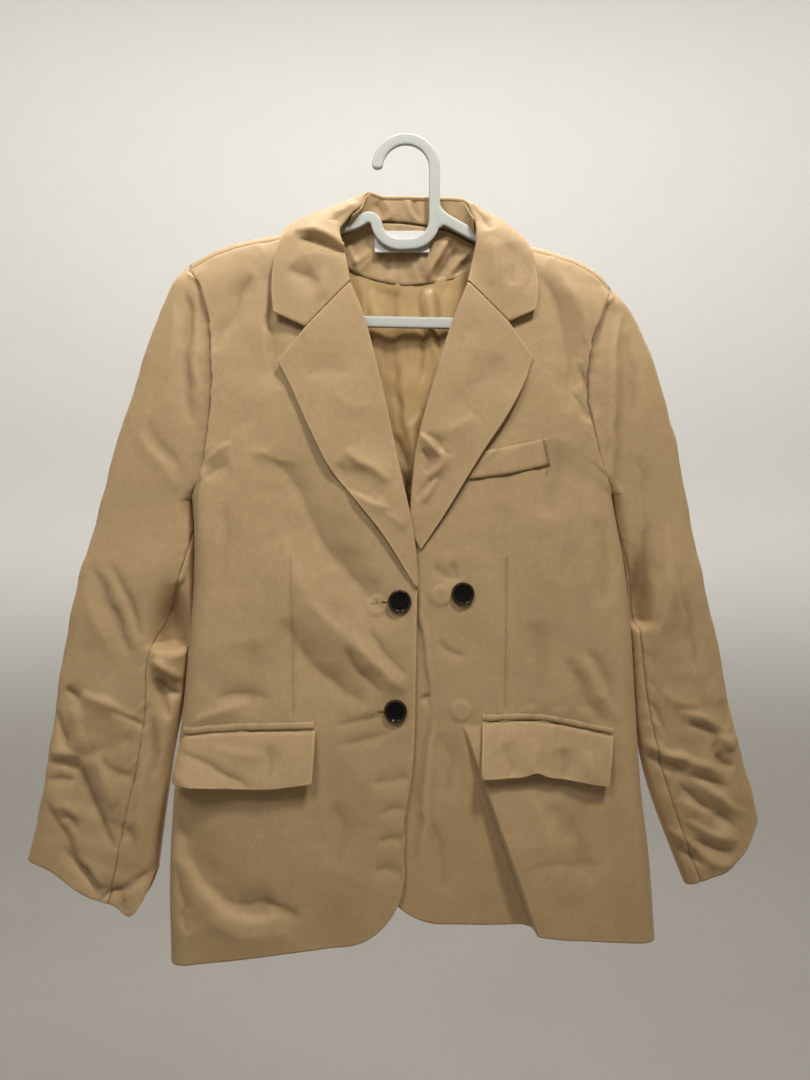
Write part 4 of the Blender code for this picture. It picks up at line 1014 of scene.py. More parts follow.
def back_folds(x, z):
    """What moves the back cloth out: creases and a soft unevenness, faded at the crest."""
    out = BACK_SHARE * creased(x, z, BACK_CREASES) + unevenness(x, z, BACK_UNEVENNESS)
    return out * ease((shoulder_crest(x) - z) / SHOULDER_FADE)


def front_outline(rows, u, v, warped):
    """Place of a front's point in the flat: u from front edge to side, v in rows."""
    row = columns(FRONT_COLUMNS, rows, v)
    sign = math.copysign(1, rows[0][2])
    drawn_in = ROLL_DRAWN_IN * (1 - ease((v - BREAK_ROWS[sign] + BREAK_FADE) / BREAK_FADE))
    edge_x, edge_z = row["edge_x"] + sign * drawn_in, row["edge_z"]
    if warped:
        z_guess = edge_z + (row["side_z"] - edge_z) * u
        fold = (pleat_line(z_guess) - edge_x) / (row["side_x"] - edge_x)
        fold = PLEAT_COLUMN + (fold - PLEAT_COLUMN) * ease((v - PLEAT_FIRST_ROW) / 2)
        inner = u / PLEAT_COLUMN * fold
        outer = fold + (u - PLEAT_COLUMN) / (1 - PLEAT_COLUMN) * (1 - fold)
        u = np.where(u < PLEAT_COLUMN, inner, outer)
    x = edge_x + (row["side_x"] - edge_x) * u
    z = edge_z + (row["side_z"] - edge_z) * u
    top = columns(FRONT_COLUMNS, rows, 0)
    top_x = top["edge_x"] + (top["side_x"] - top["edge_x"]) * u
    seam_z = shoulder_crest(top_x) - SHOULDER_SEAM_DROP
    bow = seam_z - (top["edge_z"] + (top["side_z"] - top["edge_z"]) * u)
    z = z + bow * (1 - ease(v / SHOULDER_ROWS))
    bend = ease((v - (LAST_ROW - HEM_ROWS)) / HEM_ROWS)
    if sign > 0:
        z = z + np.interp(x, *zip(*HEM_RISE)) * bend
    return x, z + corner_rise(np.abs(x - edge_x), HEM_CORNER) * bend


def front_panel(rows, u, v, folded=True):
    """Middle surface of a front: its outline at the body's depth, with its lap or its fold."""
    sign = -1 if rows is FRONT_RIGHT else 1
    x, z = front_outline(rows, u, v, sign > 0)
    lift = overlap_lift(x, z) if sign < 0 else pleat_lift(x, z)
    if folded:
        lift = lift + front_folds(x, z, sign) * body_round(x, z)
    return np.stack([x, -(body_depth(x, z, "front") + lift), z], axis=-1)


def back_panel(rows, u, v, folded=True):
    """Middle surface of a back half: u from the centre seam to the side, v in the fronts' rows.

    From v = -1 to 0 the sheet runs over the shoulder crest from the shoulder seam on its front
    side, so the fall below the crest is signed: negative in front of it, positive behind it.
    """
    row = columns(FRONT_COLUMNS, rows, v)
    down = np.maximum(v, 0) / LAST_ROW
    centre_z = BACK_CENTRE_Z[0] + (BACK_CENTRE_Z[1] - BACK_CENTRE_Z[0]) * down**BACK_ROW_GROWTH
    x = row["side_x"] * u
    crest = shoulder_crest(x)
    level = crest - (centre_z + (row["side_z"] - centre_z) * u**BACK_ROW_BEND)
    over = SHOULDER_SEAM_DROP * (2 * np.clip(v + 1, 0, 1) - 1)
    top = over + NECK_BACK_FALL * ease((NECK_HALF - np.abs(x)) / NECK_TURN)
    fall = top + (level - top) * ease(v / (SHOULDER_ROWS * (1 - u) + ARMHOLE_FIRST_ROW))
    z = crest - np.abs(fall)
    depth = body_depth(x, z, "back")
    if folded:
        depth = depth + back_folds(x, z) * body_round(x, z) * (fall > 0)
    return np.stack([x, np.sign(fall) * depth, z], axis=-1)


def sleeve_rows(sign, v):
    """A sleeve's table rows at fractional row numbers, by column."""
    return columns(SLEEVE_COLUMNS, SLEEVE_RIGHT if sign < 0 else SLEEVE_LEFT, v)


def underarm_dent(x, z, sign):
    """Depth of the hollow that the sleeve's inner half falls into beside the front."""
    dent = UNDERARM_DENTS[sign]
    up = z - dent["z"]
    up = up / np.where(up > 0, dent["above"], dent["below"])
    reach = ((x - dent["x"]) / dent["across"]) ** 2 + up**2
    return dent["depth"] * np.exp(-(reach**DENT_POWER))


def sleeve_surface(sign, angle, v):
    """Middle surface of a sleeve.

    The angle turns from the front (negative) over the outer edge (0) to the back (positive), and
    its cosine is the place across the section, from -1 at the inner edge to 1 at the outer one.
    Down to the armpit a section is an arch that stands on the armhole's two edges, and below it a
    closed superellipse. The folds are those of the body, so they run on over the armhole seam.
    """
    fronts = FRONT_RIGHT if sign < 0 else FRONT_LEFT
    row = sleeve_rows(sign, v)
    q = np.cos(angle)
    reach = (q + 1) / 2
    is_front = angle < 0
    side = np.where(is_front, -1.0, 1.0)
    ones = np.ones_like(v * angle)
    arm_v = np.minimum(v, ARMPIT_ROW) * ones
    armhole = np.where(
        is_front[..., None],
        front_panel(fronts, ones, arm_v, False),
        back_panel(fronts, ones, arm_v, False),
    )
    closed = ease((v - ARMPIT_ROW) / ARMPIT_ROWS)
    rounded = ease((v - ARMPIT_ROW) / ARMPIT_ROUNDING)
    inner_x = armhole[..., 0] + (row["inner_x"] - armhole[..., 0]) * closed
    inner_z = armhole[..., 2] + (row["inner_z"] - armhole[..., 2]) * closed
    wander = soft_noise(row["outer_z"], WANDER_AT * ones * sign, SLEEVE_WANDER_SIZE, 15)
    outer_x = row["outer_x"] + SLEEVE_WANDER * wander * ease(v / 2)
    x = inner_x + (outer_x - inner_x) * reach
    z = inner_z + (row["outer_z"] - inner_z) * reach
    full = np.where(is_front, row["front"], row["back"])
    seat = armhole[..., 1] * side
    arch = (1 - reach**SLEEVE_ROUND) ** (1 / SLEEVE_ROUND)
    arch = arch * (seat + (full - seat) * round_off(reach, SLEEVE_HEAD_REACH, 2))
    tip = np.where(is_front, body_depth(x, z, "front"), body_depth(x, z, "back"))
    arch = tip + (arch - tip) * ease(v)
    ring = (1 - np.abs(q) ** SLEEVE_ROUND) ** (1 / SLEEVE_ROUND)
    cuff = CUFF_RIGHT if sign < 0 else CUFF_LEFT
    drop = smooth_between(q, CUFF_Q, cuff["front"]) * is_front
    drop = drop + smooth_between(q, CUFF_Q, cuff["back"]) * ~is_front
    z = z - drop * ease((v - (LAST_ROW - CUFF_ROWS)) / CUFF_ROWS)
    dent = underarm_dent(x, z, sign) * is_front * closed * ring
    fade = body_round(x, z) * (1 - rounded) + ring * rounded
    folds = np.where(is_front, front_folds(x, z, sign), back_folds(x, z)) * fade
    y = side * (arch + (full * ring - arch) * rounded + folds) + dent
    return np.stack([x, y, z], axis=-1)


def seam_angles(sign, v):
    """Angles of the front and the back seam of a two-piece sleeve at the rows v."""
    row = sleeve_rows(sign, v)
    front = -np.arccos(np.clip(row["seam_front"], -1, 1))
    back = np.arccos(np.clip(row["seam_back"], -1, 1))
    return front, back


def even_rows(rows, first, last, count):
    """Row numbers that are evenly spaced in millimetres down a table's edges."""
    table = np.asarray(rows, float)[:, :4]
    length = np.concatenate([[0], np.cumsum(np.linalg.norm(np.diff(table, axis=0), axis=1))])
    numbers = np.arange(len(table))
    ends = np.interp([first, last], numbers, length)
    return np.interp(np.linspace(*ends, count), length, numbers)


def denser_ends(count, share=0.5):
    """Numbers from 0 to 1 that are closer together at both ends, by a cosine's share."""
    t = np.linspace(0, 1, count)
    return t * (1 - share) + (1 - np.cos(math.pi * t)) / 2 * share


def outward(sheet, flip):
    """Unit normals of a grid that runs across and down, out of the garment."""
    normal = np.cross(np.gradient(sheet, axis=1), np.gradient(sheet, axis=0))
    return unit(-normal if flip else normal)


def side_distances(sheet):
    """Distance of each grid point from the grid's four sides, along the grid's own lines."""
    across = np.linalg.norm(np.diff(sheet, axis=1), axis=-1).cumsum(axis=1)
    down = np.linalg.norm(np.diff(sheet, axis=0), axis=-1).cumsum(axis=0)
    left = np.pad(across, ((0, 0), (1, 0)))
    top = np.pad(down, ((1, 0), (0, 0)))
    return {"left": left, "right": left[:, -1:] - left, "top": top, "bottom": top[-1:] - top}


def sink_seams(sheet, seams, flip):
    """Draws the sheet in along its seams, unevenly, with small puckers beside them."""
    far = side_distances(sheet)
    dip, pucker = np.zeros(far["left"].shape), np.zeros(far["left"].shape)
    for number, side in enumerate(seams.split()):
        run = far["top"] if side in ("left", "right") else far["left"]
        uneven = 1 + SEAM_UNEVENNESS * soft_noise(run, 0 * run, size=9, seed=20 + number)
        dip = np.maximum(dip, SEAM_DIP * uneven * np.exp(-((far[side] / SEAM_REACH) ** 2)))
        slanted = run + PUCKER_SLANT * far[side]
        wave = PUCKER * soft_noise(slanted, 0 * run, size=7, seed=30 + number)
        pucker = pucker + wave * np.exp(-((far[side] / PUCKER_REACH) ** 2))
    inside = ease(np.abs(sheet[..., 1]) / OUTLINE_FADE)
    return sheet - outward(sheet, flip) * ((dip + pucker) * inside)[..., None]


def rolled(sheet, underside, flip):
    """Adds an underside and a half turn before the first column: the sheet comes from under it."""
    ahead = unit(sheet[:, 1] - sheet[:, 0])
    normal = outward(sheet, flip)[:, 0]
    turn = np.linspace(math.pi, 0, ROLL_STEPS)[:-1][None, :, None]
    centre = (sheet[:, 0] - normal * ROLL_RADIUS)[:, None]
    arc = normal[:, None] * np.cos(turn) - ahead[:, None] * np.sin(turn)
    arc = centre + ROLL_RADIUS * arc
    under = arc[:, :1] + ahead[:, None] * (underside * np.array(UNDERSIDE_STEPS))[..., None]
    return np.concatenate([under, arc, sheet], axis=1)


def to_linear(colour):
    """An sRGB hex string as linear red, green, blue and alpha."""
    values = np.array([int(colour[k:k + 2], 16) / 255 for k in (1, 3, 5)])
    linear = np.where(values <= 0.04045, values / 12.92, ((values + 0.055) / 1.055) ** 2.4)
    return (*linear.tolist(), 1.0)


def add_node(tree, kind, values=None, settings=None, links=None):
    """A shader node with its sockets' values, its own settings and what feeds its sockets."""
    made = tree.nodes.new(kind)
    for name, value in (settings or {}).items():
        setattr(made, name, value)
    for name, value in (values or {}).items():
        made.inputs[name].default_value = value
    for name, source in (links or {}).items():
        tree.links.new(source, made.inputs[name])
    return made


def new_material(name):
    """An empty material and its node tree."""
    material = bpy.data.materials.new(name)
    material.use_nodes = True
    tree = material.node_tree
    tree.nodes.clear()
    return material, tree


def close_material(tree, values, colour, bump=None, rough=None):
    """Joins colour, bump and roughness to the shader, and the shader to the output.

    A bump is its strength, its distance in metres and the output that gives its height. Roughness
    is its least and greatest value and the output that picks between them.
    """
    links = {"Base Color": colour}
    if bump:
        strength, distance, height = bump
        links["Normal"] = add_node(
            tree, "ShaderNodeBump", {"Strength": strength, "Distance": distance},
            links={"Height": height},
        ).outputs[0]
    if rough:
        least, greatest, share = rough
        links["Roughness"] = add_node(
            tree, "ShaderNodeMapRange", {"To Min": least, "To Max": greatest},
            links={"Value": share},
        ).outputs[0]
    shader = add_node(tree, "ShaderNodeBsdfPrincipled", values, links=links)
    output = tree.nodes.new("ShaderNodeOutputMaterial")
    tree.links.new(shader.outputs["BSDF"], output.inputs["Surface"])


def shade(colour, share, more=0.0):
    """A linear colour made darker or paler, with its alpha."""
    return (*[min(1.0, share * value + more) for value in colour], 1.0)


def mixed(tree, kind, factor, first, second):
    """A colour mix whose sockets take colours or other nodes' outputs."""
    mix = add_node(tree, "ShaderNodeMix", settings={"data_type": "RGBA", "blend_type": kind})
    for socket, value in ((0, factor), (6, first), (7, second)):
        if isinstance(value, bpy.types.NodeSocket):
            tree.links.new(value, mix.inputs[socket])
        else:
            mix.inputs[socket].default_value = value
    return mix.outputs[2]


def twill_suiting():
    """Polyester twill suiting, woven and pressed: a fine diagonal rib and a dull sheen on its
    floats, with painted light and shade in its colour: edges a little paler, partly the iron's
    press and partly a painted highlight; dark lines along seams, partly their thread and partly
    painted shade in their grooves; fold ridges paler as a painted highlight and fold valleys
    darker as painted shade.

    The mesh attribute "edge" is 1 on a pressed edge and -1 on a seam, more on fold ridges and less
    in fold valleys.
    """
    cloth = bpy.context.scene.blazer_cloth
    material, tree = new_material("twill_suiting")
    weave = add_node(tree, "ShaderNodeUVMap", settings={"uv_map": "weave"}).outputs["UV"]
    place = add_node(tree, "ShaderNodeTexCoord").outputs["Object"]
    edge = add_node(
        tree, "ShaderNodeAttribute", settings={"attribute_name": "edge"},
    ).outputs["Fac"]
    # The rib is drawn at twice its real pitch
    rib = add_node(
        tree, "ShaderNodeTexWave",
        {"Scale": DIAGONAL_WAVE / (cloth.rib_pitch * MM), "Distortion": 1.2, "Detail": 1.0,
         "Detail Scale": 2.0},
        {"wave_type": "BANDS", "bands_direction": "DIAGONAL"}, {"Vector": weave},
    ).outputs["Fac"]
    # Yarns 0.5 mm apart and 2 mm long
    stretch = add_node(
        tree, "ShaderNodeMapping", {"Scale": (1900.0, 500.0, 1.0)}, links={"Vector": weave},
    ).outputs[0]
    # The yarns, mottles of 110 mm and specks of 6 mm
    yarn, cloud, speck = (
        add_node(
            tree, "ShaderNodeTexNoise", {"Scale": scale, "Detail": detail, "Roughness": rough},
            links={"Vector": source},
        ).outputs["Fac"]
        for scale, detail, rough, source in (
            (1.0, 2.0, 0.5, stretch), (9.0, 3.0, 0.55, place), (160.0, 3.0, 0.7, place),
        )
    )
    own = cloth.shell_colour
    colour = mixed(tree, "MIX", cloud, shade(own, 0.88), shade(own, 1.13))
    colour = mixed(tree, "MIX", 0.5, shade(own, 1), colour)
    colour = mixed(tree, "SOFT_LIGHT", 0.25, colour, speck)
    colour = mixed(tree, "OVERLAY", 0.10, colour, rib)
    # Painted light and shade: towards 1.5 times the colour where the edge mark is positive, a
    # painted highlight on pressed edges and fold ridges; towards 0.2 times where it is negative,
    # painted shade in seams and fold valleys
    for share, other in ((0.4, shade(own, 1.5)), (-0.7, shade(own, 0.2))):
        painted_light_share = add_node(
            tree, "ShaderNodeMath", {1: share}, {"operation": "MULTIPLY", "use_clamp": True},
            {0: edge},
        ).outputs[0]
        colour = mixed(tree, "MIX", painted_light_share, colour, other)
    height = add_node(
        tree, "ShaderNodeMath", {1: 0.7}, {"operation": "MULTIPLY_ADD"}, {0: yarn, 2: rib},
    ).outputs[0]
    close_material(
        tree,
        {"IOR": 1.5, "Specular IOR Level": 0.35, "Sheen Weight": 0.18, "Sheen Roughness": 0.4,
         "Sheen Tint": (1.0, 0.93, 0.82, 1.0)},
        colour, (0.22, 0.0002, height), (0.58, 0.74, cloud),
    )
    return material


def satin_lining():
    """Polyester satin, woven with long warp floats: smooth and shiny, with fine upright threads,
    and painted shade in the valleys of its folds, as the mesh attribute "edge" marks them."""
    cloth = bpy.context.scene.blazer_cloth
    material, tree = new_material("satin_lining")
    weave = add_node(tree, "ShaderNodeUVMap", settings={"uv_map": "weave"}).outputs["UV"]
    # Warp threads 0.5 mm apart, four times their real pitch, and 20 mm long
    stretch = add_node(
        tree, "ShaderNodeMapping", {"Scale": (2000.0, 50.0, 1.0)}, links={"Vector": weave},
    ).outputs[0]
    warp, cloud = (
        add_node(
            tree, "ShaderNodeTexNoise", {"Scale": scale, "Detail": detail},
            links={"Vector": source},
        ).outputs["Fac"]
        for scale, detail, source in ((1.0, 2.0, stretch), (25.0, 3.0, weave))
    )
    own = cloth.lining_colour
    colour = mixed(tree, "MIX", cloud, shade(own, 0.8), shade(own, 1))
    colour = mixed(tree, "SOFT_LIGHT", 0.3, colour, warp)
    ridge = add_node(
        tree, "ShaderNodeAttribute", settings={"attribute_name": "edge"},
    ).outputs["Fac"]
    # Painted shade: the colour goes towards a quarter of its own where the edge mark is negative,
    # in the folds' valleys
    valley = add_node(
        tree, "ShaderNodeMath", {1: -1.3}, {"operation": "MULTIPLY", "use_clamp": True},
        {0: ridge},
    ).outputs[0]
    colour = mixed(tree, "MIX", valley, colour, shade(own, 0.25))
    close_material(
        tree,
        {"IOR": 1.5, "Specular IOR Level": 0.5, "Roughness": 0.36, "Sheen Weight": 0.1,
         "Sheen Roughness": 0.3},
        colour, (0.15, 0.0002, warp),
    )
    return material


def woven_label():
    """Damask-woven polyester tape, cut and folded: dull white with a fine weft rib."""
    material, tree = new_material("woven_label")
    weave = add_node(tree, "ShaderNodeUVMap", settings={"uv_map": "weave"}).outputs["UV"]
    # Weft ribs 0.7 mm apart
    rib = add_node(
        tree, "ShaderNodeTexWave",
        {"Scale": UPRIGHT_WAVE / 0.0007, "Distortion": 0.6, "Detail": 1.0},
        {"wave_type": "BANDS", "bands_direction": "Y"}, {"Vector": weave},
    ).outputs["Fac"]
    speck = add_node(
        tree, "ShaderNodeTexNoise", {"Scale": 700.0, "Detail": 2.0}, links={"Vector": weave},
    ).outputs["Fac"]
    colour = mixed(tree, "MIX", speck, to_linear("#CDCBC6"), to_linear("#DDDBD6"))
    close_material(
        tree, {"IOR": 1.5, "Roughness": 0.55, "Specular IOR Level": 0.35, "Sheen Weight": 0.2},
        colour, (0.3, 0.0002, rib),
    )
    return material


def moulded_polypropylene():
    """Polypropylene, injection moulded in a fine-grained tool: satin, with faint flow clouds."""
    own = bpy.context.scene.blazer_hanger.colour
    material, tree = new_material("moulded_polypropylene")
    place = add_node(tree, "ShaderNodeTexCoord").outputs["Object"]
    # The tool's grain, 0.7 mm
    grain = add_node(
        tree, "ShaderNodeTexNoise", {"Scale": 1400.0, "Detail": 2.0, "Roughness": 0.6},
        links={"Vector": place},
    ).outputs["Fac"]
    flow = add_node(
        tree, "ShaderNodeTexNoise", {"Scale": 14.0, "Detail": 2.0, "Distortion": 0.8},
        links={"Vector": place},
    ).outputs["Fac"]
    colour = mixed(tree, "MIX", flow, shade(own, 0.93), shade(own, 1))
    close_material(
        tree, {"IOR": 1.49, "Subsurface Weight": 0.08, "Subsurface Radius": (0.002, 0.002, 0.002)},
        colour, (0.12, 0.0001, grain), (0.34, 0.48, flow),
    )
    return material


def cast_polyester():
    """Cast polyester button blank, turned and tumble-polished: glossy black, with a bronze line
    along the top of the turned rim, and fine hazy scratches."""
    own = bpy.context.scene.blazer_buttons.colour
    material, tree = new_material("cast_polyester")
    place = add_node(tree, "ShaderNodeTexCoord").outputs["Object"]
    rim = add_node(
        tree, "ShaderNodeAttribute", settings={"attribute_name": "edge"},
    ).outputs["Fac"]
    haze = add_node(
        tree, "ShaderNodeTexNoise", {"Scale": 260.0, "Detail": 4.0, "Roughness": 0.65},
        links={"Vector": place},
    ).outputs["Fac"]
    colour = mixed(tree, "MIX", haze, shade(own, 1), shade(own, 1.7, 0.002))
    colour = mixed(tree, "MIX", rim, colour, to_linear("#3C2C1C"))
    close_material(
        tree,
        {"IOR": 1.54, "Specular IOR Level": 0.25, "Coat Weight": 0.06, "Coat Roughness": 0.1},
        colour, (0.05, 0.0002, haze), (0.12, 0.22, haze),
    )
    return material


def sewing_thread():
    """Spun polyester sewing thread: twisted, matt, a shade paler than the cloth."""
    material, tree = new_material("sewing_thread")
    place = add_node(tree, "ShaderNodeTexCoord").outputs["Object"]
    # One twist in 0.8 mm
    twist = add_node(
        tree, "ShaderNodeTexWave",
        {"Scale": DIAGONAL_WAVE / 0.0008, "Distortion": 2.0, "Detail": 1.0},
        {"wave_type": "BANDS", "bands_direction": "DIAGONAL"}, {"Vector": place},
    ).outputs["Fac"]
    colour = mixed(tree, "MIX", twist, to_linear("#8F734A"), to_linear("#B99C6E"))
    close_material(
        tree, {"IOR": 1.5, "Roughness": 0.75, "Sheen Weight": 0.3}, colour, (0.4, 0.0001, twist),
    )
    return material


def plain_backdrop():
    """Studio cove in matt paint, with the faint mottle of a roller coat, and darker towards the
    bottom: from the wall's pale grey to the floor's deeper one, partly a darker floor that throws
    less light back and partly painted shade for the light falling off towards the bottom."""
    settings = bpy.context.scene.blazer_stage
    material, tree = new_material("plain_backdrop")
    place = add_node(tree, "ShaderNodeTexCoord").outputs["Object"]
    roller = add_node(
        tree, "ShaderNodeTexNoise", {"Scale": 3.0, "Detail": 3.0}, links={"Vector": place},
    ).outputs["Fac"]
    height = add_node(tree, "ShaderNodeSeparateXYZ", links={"Vector": place}).outputs["Z"]
    # Partly painted shade: darker towards the floor, over the shade height above it
    wall_share_painted_falloff = add_node(
        tree, "ShaderNodeMapRange", {"From Min": FLOOR_Z, "From Max": FLOOR_Z + SHADE_HEIGHT},
        {"interpolation_type": "SMOOTHSTEP"}, {"Value": height},
    ).outputs[0]
    floor, wall = shade(settings.floor_colour, 1), shade(settings.colour, 1)
    colour = mixed(tree, "MIX", wall_share_painted_falloff, floor, wall)
    colour = mixed(tree, "SOFT_LIGHT", 0.05, colour, roller)
    close_material(tree, {"Roughness": 0.9, "Specular IOR Level": 0.2}, colour)
    return material


MATERIALS = {
    "twill_suiting": twill_suiting,
    "satin_lining": satin_lining,
    "woven_label": woven_label,
    "moulded_polypropylene": moulded_polypropylene,
    "cast_polyester": cast_polyester,
    "sewing_thread": sewing_thread,
    "plain_backdrop": plain_backdrop,
}


def material_named(name):
    """A finish, made the first time that it is asked for."""
    return bpy.data.materials.get(name) or MATERIALS[name]()


def ring_faces(number, turned_in=False):
    """Quads between the rows of a grid of point numbers, each row a closed ring."""
    after = np.roll(number, -1, axis=1)
    quads = np.stack([number[:-1], after[:-1], after[1:], number[1:]], axis=-1)
    return quads[..., [0, 3, 2, 1] if turned_in else [0, 1, 2, 3]].reshape(-1, 4).tolist()


def pole_faces(pole, ring):
    """Triangles from a pole to each side of a ring of point numbers."""
    return [[pole, a, b] for a, b in zip(ring.tolist(), np.roll(ring, -1).tolist())]


def add_mesh(name, points, faces, material, uv=None, edge=None):
    """One smooth-shaded object from points in millimetres, with its weave map and edge mark."""
    mesh = bpy.data.meshes.new(name)
    mesh.from_pydata((np.asarray(points) * MM).tolist(), [], faces)
    mesh.materials.append(material_named(material))
    corner = np.zeros(len(mesh.loops), int)
    mesh.loops.foreach_get("vertex_index", corner)
    if uv is not None:
        layer = mesh.uv_layers.new(name="weave")
        layer.data.foreach_set("uv", (np.asarray(uv)[corner] * MM).astype(np.float32).ravel())
    if edge is not None:
        mark = mesh.attributes.new("edge", "FLOAT", "POINT")
        mark.data.foreach_set("value", np.asarray(edge, np.float32))
    mesh.shade_smooth()
    piece = bpy.data.objects.new(name, mesh)
    bpy.context.scene.collection.objects.link(piece)
    return piece


def place_piece(piece, slot, *nodes):
    """Rides the piece on the body, in place of its nodes. The slot is not used."""
    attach(piece, BODY)
    if nodes:
        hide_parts(*nodes)


def ridge_mark(sheet, normal):
    """How far the cloth stands out of its own mean round each point, from -1 in a valley to 1."""
    far = RIDGE_STEPS
    wide = np.pad(sheet, ((far, far), (far, far), (0, 0)), mode="edge")
    middle = slice(far, -far)
    around = (wide[:-2 * far, middle] + wide[2 * far:, middle]
              + wide[middle, :-2 * far] + wide[middle, 2 * far:]) / 4
    return np.tanh(np.sum((sheet - around) * normal, axis=-1) / RIDGE_HEIGHT)


def cloth_piece(name, sheet, node, thickness=SHELL_CLOTH, seams="", flip=False,
                slot="shell", material="twill_suiting",
                rim=0.45):
    """A wall round the sheet, half its thickness to each side, with a rim that bulges out.

    The seams are the grid's sides that are sewn to a neighbour; the others are pressed edges.
    """
    sheet = sink_seams(sheet, seams, flip)
    normal = outward(sheet, flip)
    rows, across = sheet.shape[:2]
    total = rows * across
    number = np.arange(total).reshape(rows, across)
    loop = np.concatenate([number[0, :], number[1:, -1], number[-1, -2::-1], number[-2:0:-1, 0]])
    out = np.zeros_like(sheet)
    out[0] += unit(sheet[0] - sheet[1])
    out[-1] += unit(sheet[-1] - sheet[-2])
    out[:, 0] += unit(sheet[:, 0] - sheet[:, 1])
    out[:, -1] += unit(sheet[:, -1] - sheet[:, -2])
    ring = (sheet + unit(out) * rim).reshape(-1, 3)[loop]
    wall = [(sheet + side * normal * thickness / 2).reshape(-1, 3) for side in (1, -1)]
    quads = np.stack([number[:-1, :-1], number[:-1, 1:], number[1:, 1:], number[1:, :-1]], axis=-1)
    front = quads.reshape(-1, 4)
    middle = 2 * total + np.arange(len(loop))
    after, middle_after = np.roll(loop, -1), np.roll(middle, -1)
    faces = np.concatenate([
        front,
        front[:, ::-1] + total,
        np.column_stack([loop, middle, middle_after, after]),
        np.column_stack([middle, loop + total, after + total, middle_after]),
    ])
    if flip:
        faces = faces[:, ::-1]
    far = side_distances(sheet)
    # Mark for painted light and shade: paler on fold ridges and pressed edges (painted highlight),
    # darker in fold valleys and along seams (painted shade)
    edge = FOLD_PAINTED_LIGHT * ridge_mark(sheet, normal)
    for sign, reach, sides in (
        (1, EDGE_REACH, [far[side] for side in far if side not in seams.split()]),
        (-1, SEAM_SHADE, [far[side] for side in seams.split()]),
    ):
        if sides:
            edge = edge + sign * np.exp(-((np.min(sides, axis=0) / reach) ** 2))
    uv = np.stack([far["left"], -far["top"]], axis=-1).reshape(-1, 2)
    edge = edge.reshape(-1)
    piece = add_mesh(
        name, np.concatenate([*wall, ring]), faces.tolist(), material,
        np.concatenate([uv, uv, uv[loop]]), np.concatenate([edge, edge, edge[loop]]),
    )
    place_piece(piece, slot, node)


def tube(name, paths, radius, material, sides=5, mark=0.0):
    """Round threads: a ring of points round each point of each path, closed at both ends."""
    turn = np.linspace(0, 2 * math.pi, sides, endpoint=False)[None, :, None]
    points, faces, start = [], [], 0
    for path in paths:
        step = unit(np.gradient(path, axis=0))
        side = unit(np.cross(step, THREAD_SIDE))
        up = np.cross(side, step)
        ring = side[:, None] * np.cos(turn) + up[:, None] * np.sin(turn)
        points.append((path[:, None] + radius * ring).reshape(-1, 3))
        number = start + np.arange(len(path) * sides).reshape(len(path), sides)
        faces += ring_faces(number)
        faces += [number[0, ::-1].tolist(), number[-1].tolist()]
        start += len(path) * sides
    points = np.concatenate(points)
    piece = add_mesh(name, points, faces, material, edge=np.full(len(points), mark))
    place_piece(piece, "shell")


def make_fronts():
    """Two fronts, the right one over the left, each a sheet from its front edge to its side.

    The left one's columns are closest together at its deep fold.
    """
    count, down = GRIDS["front"]
    rows = even_rows(FRONT_RIGHT, 0, LAST_ROW, down)
    sheet = front_panel(FRONT_RIGHT, *np.meshgrid(denser_ends(count), rows))
    cloth_piece("front_panel_right", sheet, "front_right", seams="right top")
    near_fold = [np.linspace(*run, endpoint=False) for run in FOLD_COLUMNS]
    last = FOLD_COLUMNS[-1][1]
    closer = np.sin(np.linspace(0, math.pi / 2, SIDE_COLUMNS))
    across = np.concatenate([*near_fold, last + (1 - last) * closer])
    rows = even_rows(FRONT_LEFT, 0, LAST_ROW, down)
    sheet = front_panel(FRONT_LEFT, *np.meshgrid(across, rows))
    cloth_piece("front_panel_left", sheet, "front_left", seams="right top", flip=True)


def make_backs():
    """Two back halves, joined at the centre back."""
    across, down = GRIDS["back"]
    for side, rows in (("right", FRONT_RIGHT), ("left", FRONT_LEFT)):
        over = np.linspace(-1, 0, OVER_SHOULDER)[:-1]
        v = np.concatenate([over, even_rows(rows, 0, LAST_ROW, down)])
        cloth_piece(
            f"back_panel_{side}", back_panel(rows, *np.meshgrid(denser_ends(across), v)),
            f"back_{side}", seams="left right top", flip=side == "right",
        )


def make_sleeves():
    """Two two-piece sleeves: the top sleeve with the sleeve head, and the under sleeve."""
    for side, sign, table in (("right", -1, SLEEVE_RIGHT), ("left", 1, SLEEVE_LEFT)):
        for piece, first in (("top", 0), ("under", UNDER_SLEEVE_ROW)):
            count, down = GRIDS[f"sleeve_{piece}"]
            v = even_rows(table, first, LAST_ROW, down)
            front, back = seam_angles(sign, v)
            start, end = (front, back) if piece == "top" else (back, front + 2 * math.pi)
            across = denser_ends(count, share=0.6)
            angle = start[:, None] + (end - start)[:, None] * across
            angle = np.where(angle > math.pi, angle - 2 * math.pi, angle)
            sheet = sleeve_surface(sign, angle, np.repeat(v[:, None], count, axis=1))
            cloth_piece(
                f"sleeve_{piece}_cloth_{side}", sheet, f"sleeve_{piece}_{side}",
                seams="left right top", flip=sign > 0,
            )


def clear_of(depth, least):
    """The larger of two depths, with a soft change from one to the other."""
    return (depth + least + np.sqrt((depth - least) ** 2 + SOFT_CHANGE)) / 2


def notched_row(roll, notch, tip, across):
    """A piece's top row: from the roll line to the notch, then on to its corner."""
    inner = roll + (notch - roll) * np.minimum(across / NOTCH_AT, 1)[:, None]
    outer = (tip - notch) * np.maximum((across - NOTCH_AT) / (1 - NOTCH_AT), 0)[:, None]
    return inner + outer


def collar_arch(across):
    """How the collar's fall bulges from its roll line to its edge."""
    return np.sin(math.pi * across**COLLAR_ARCH_POWER)


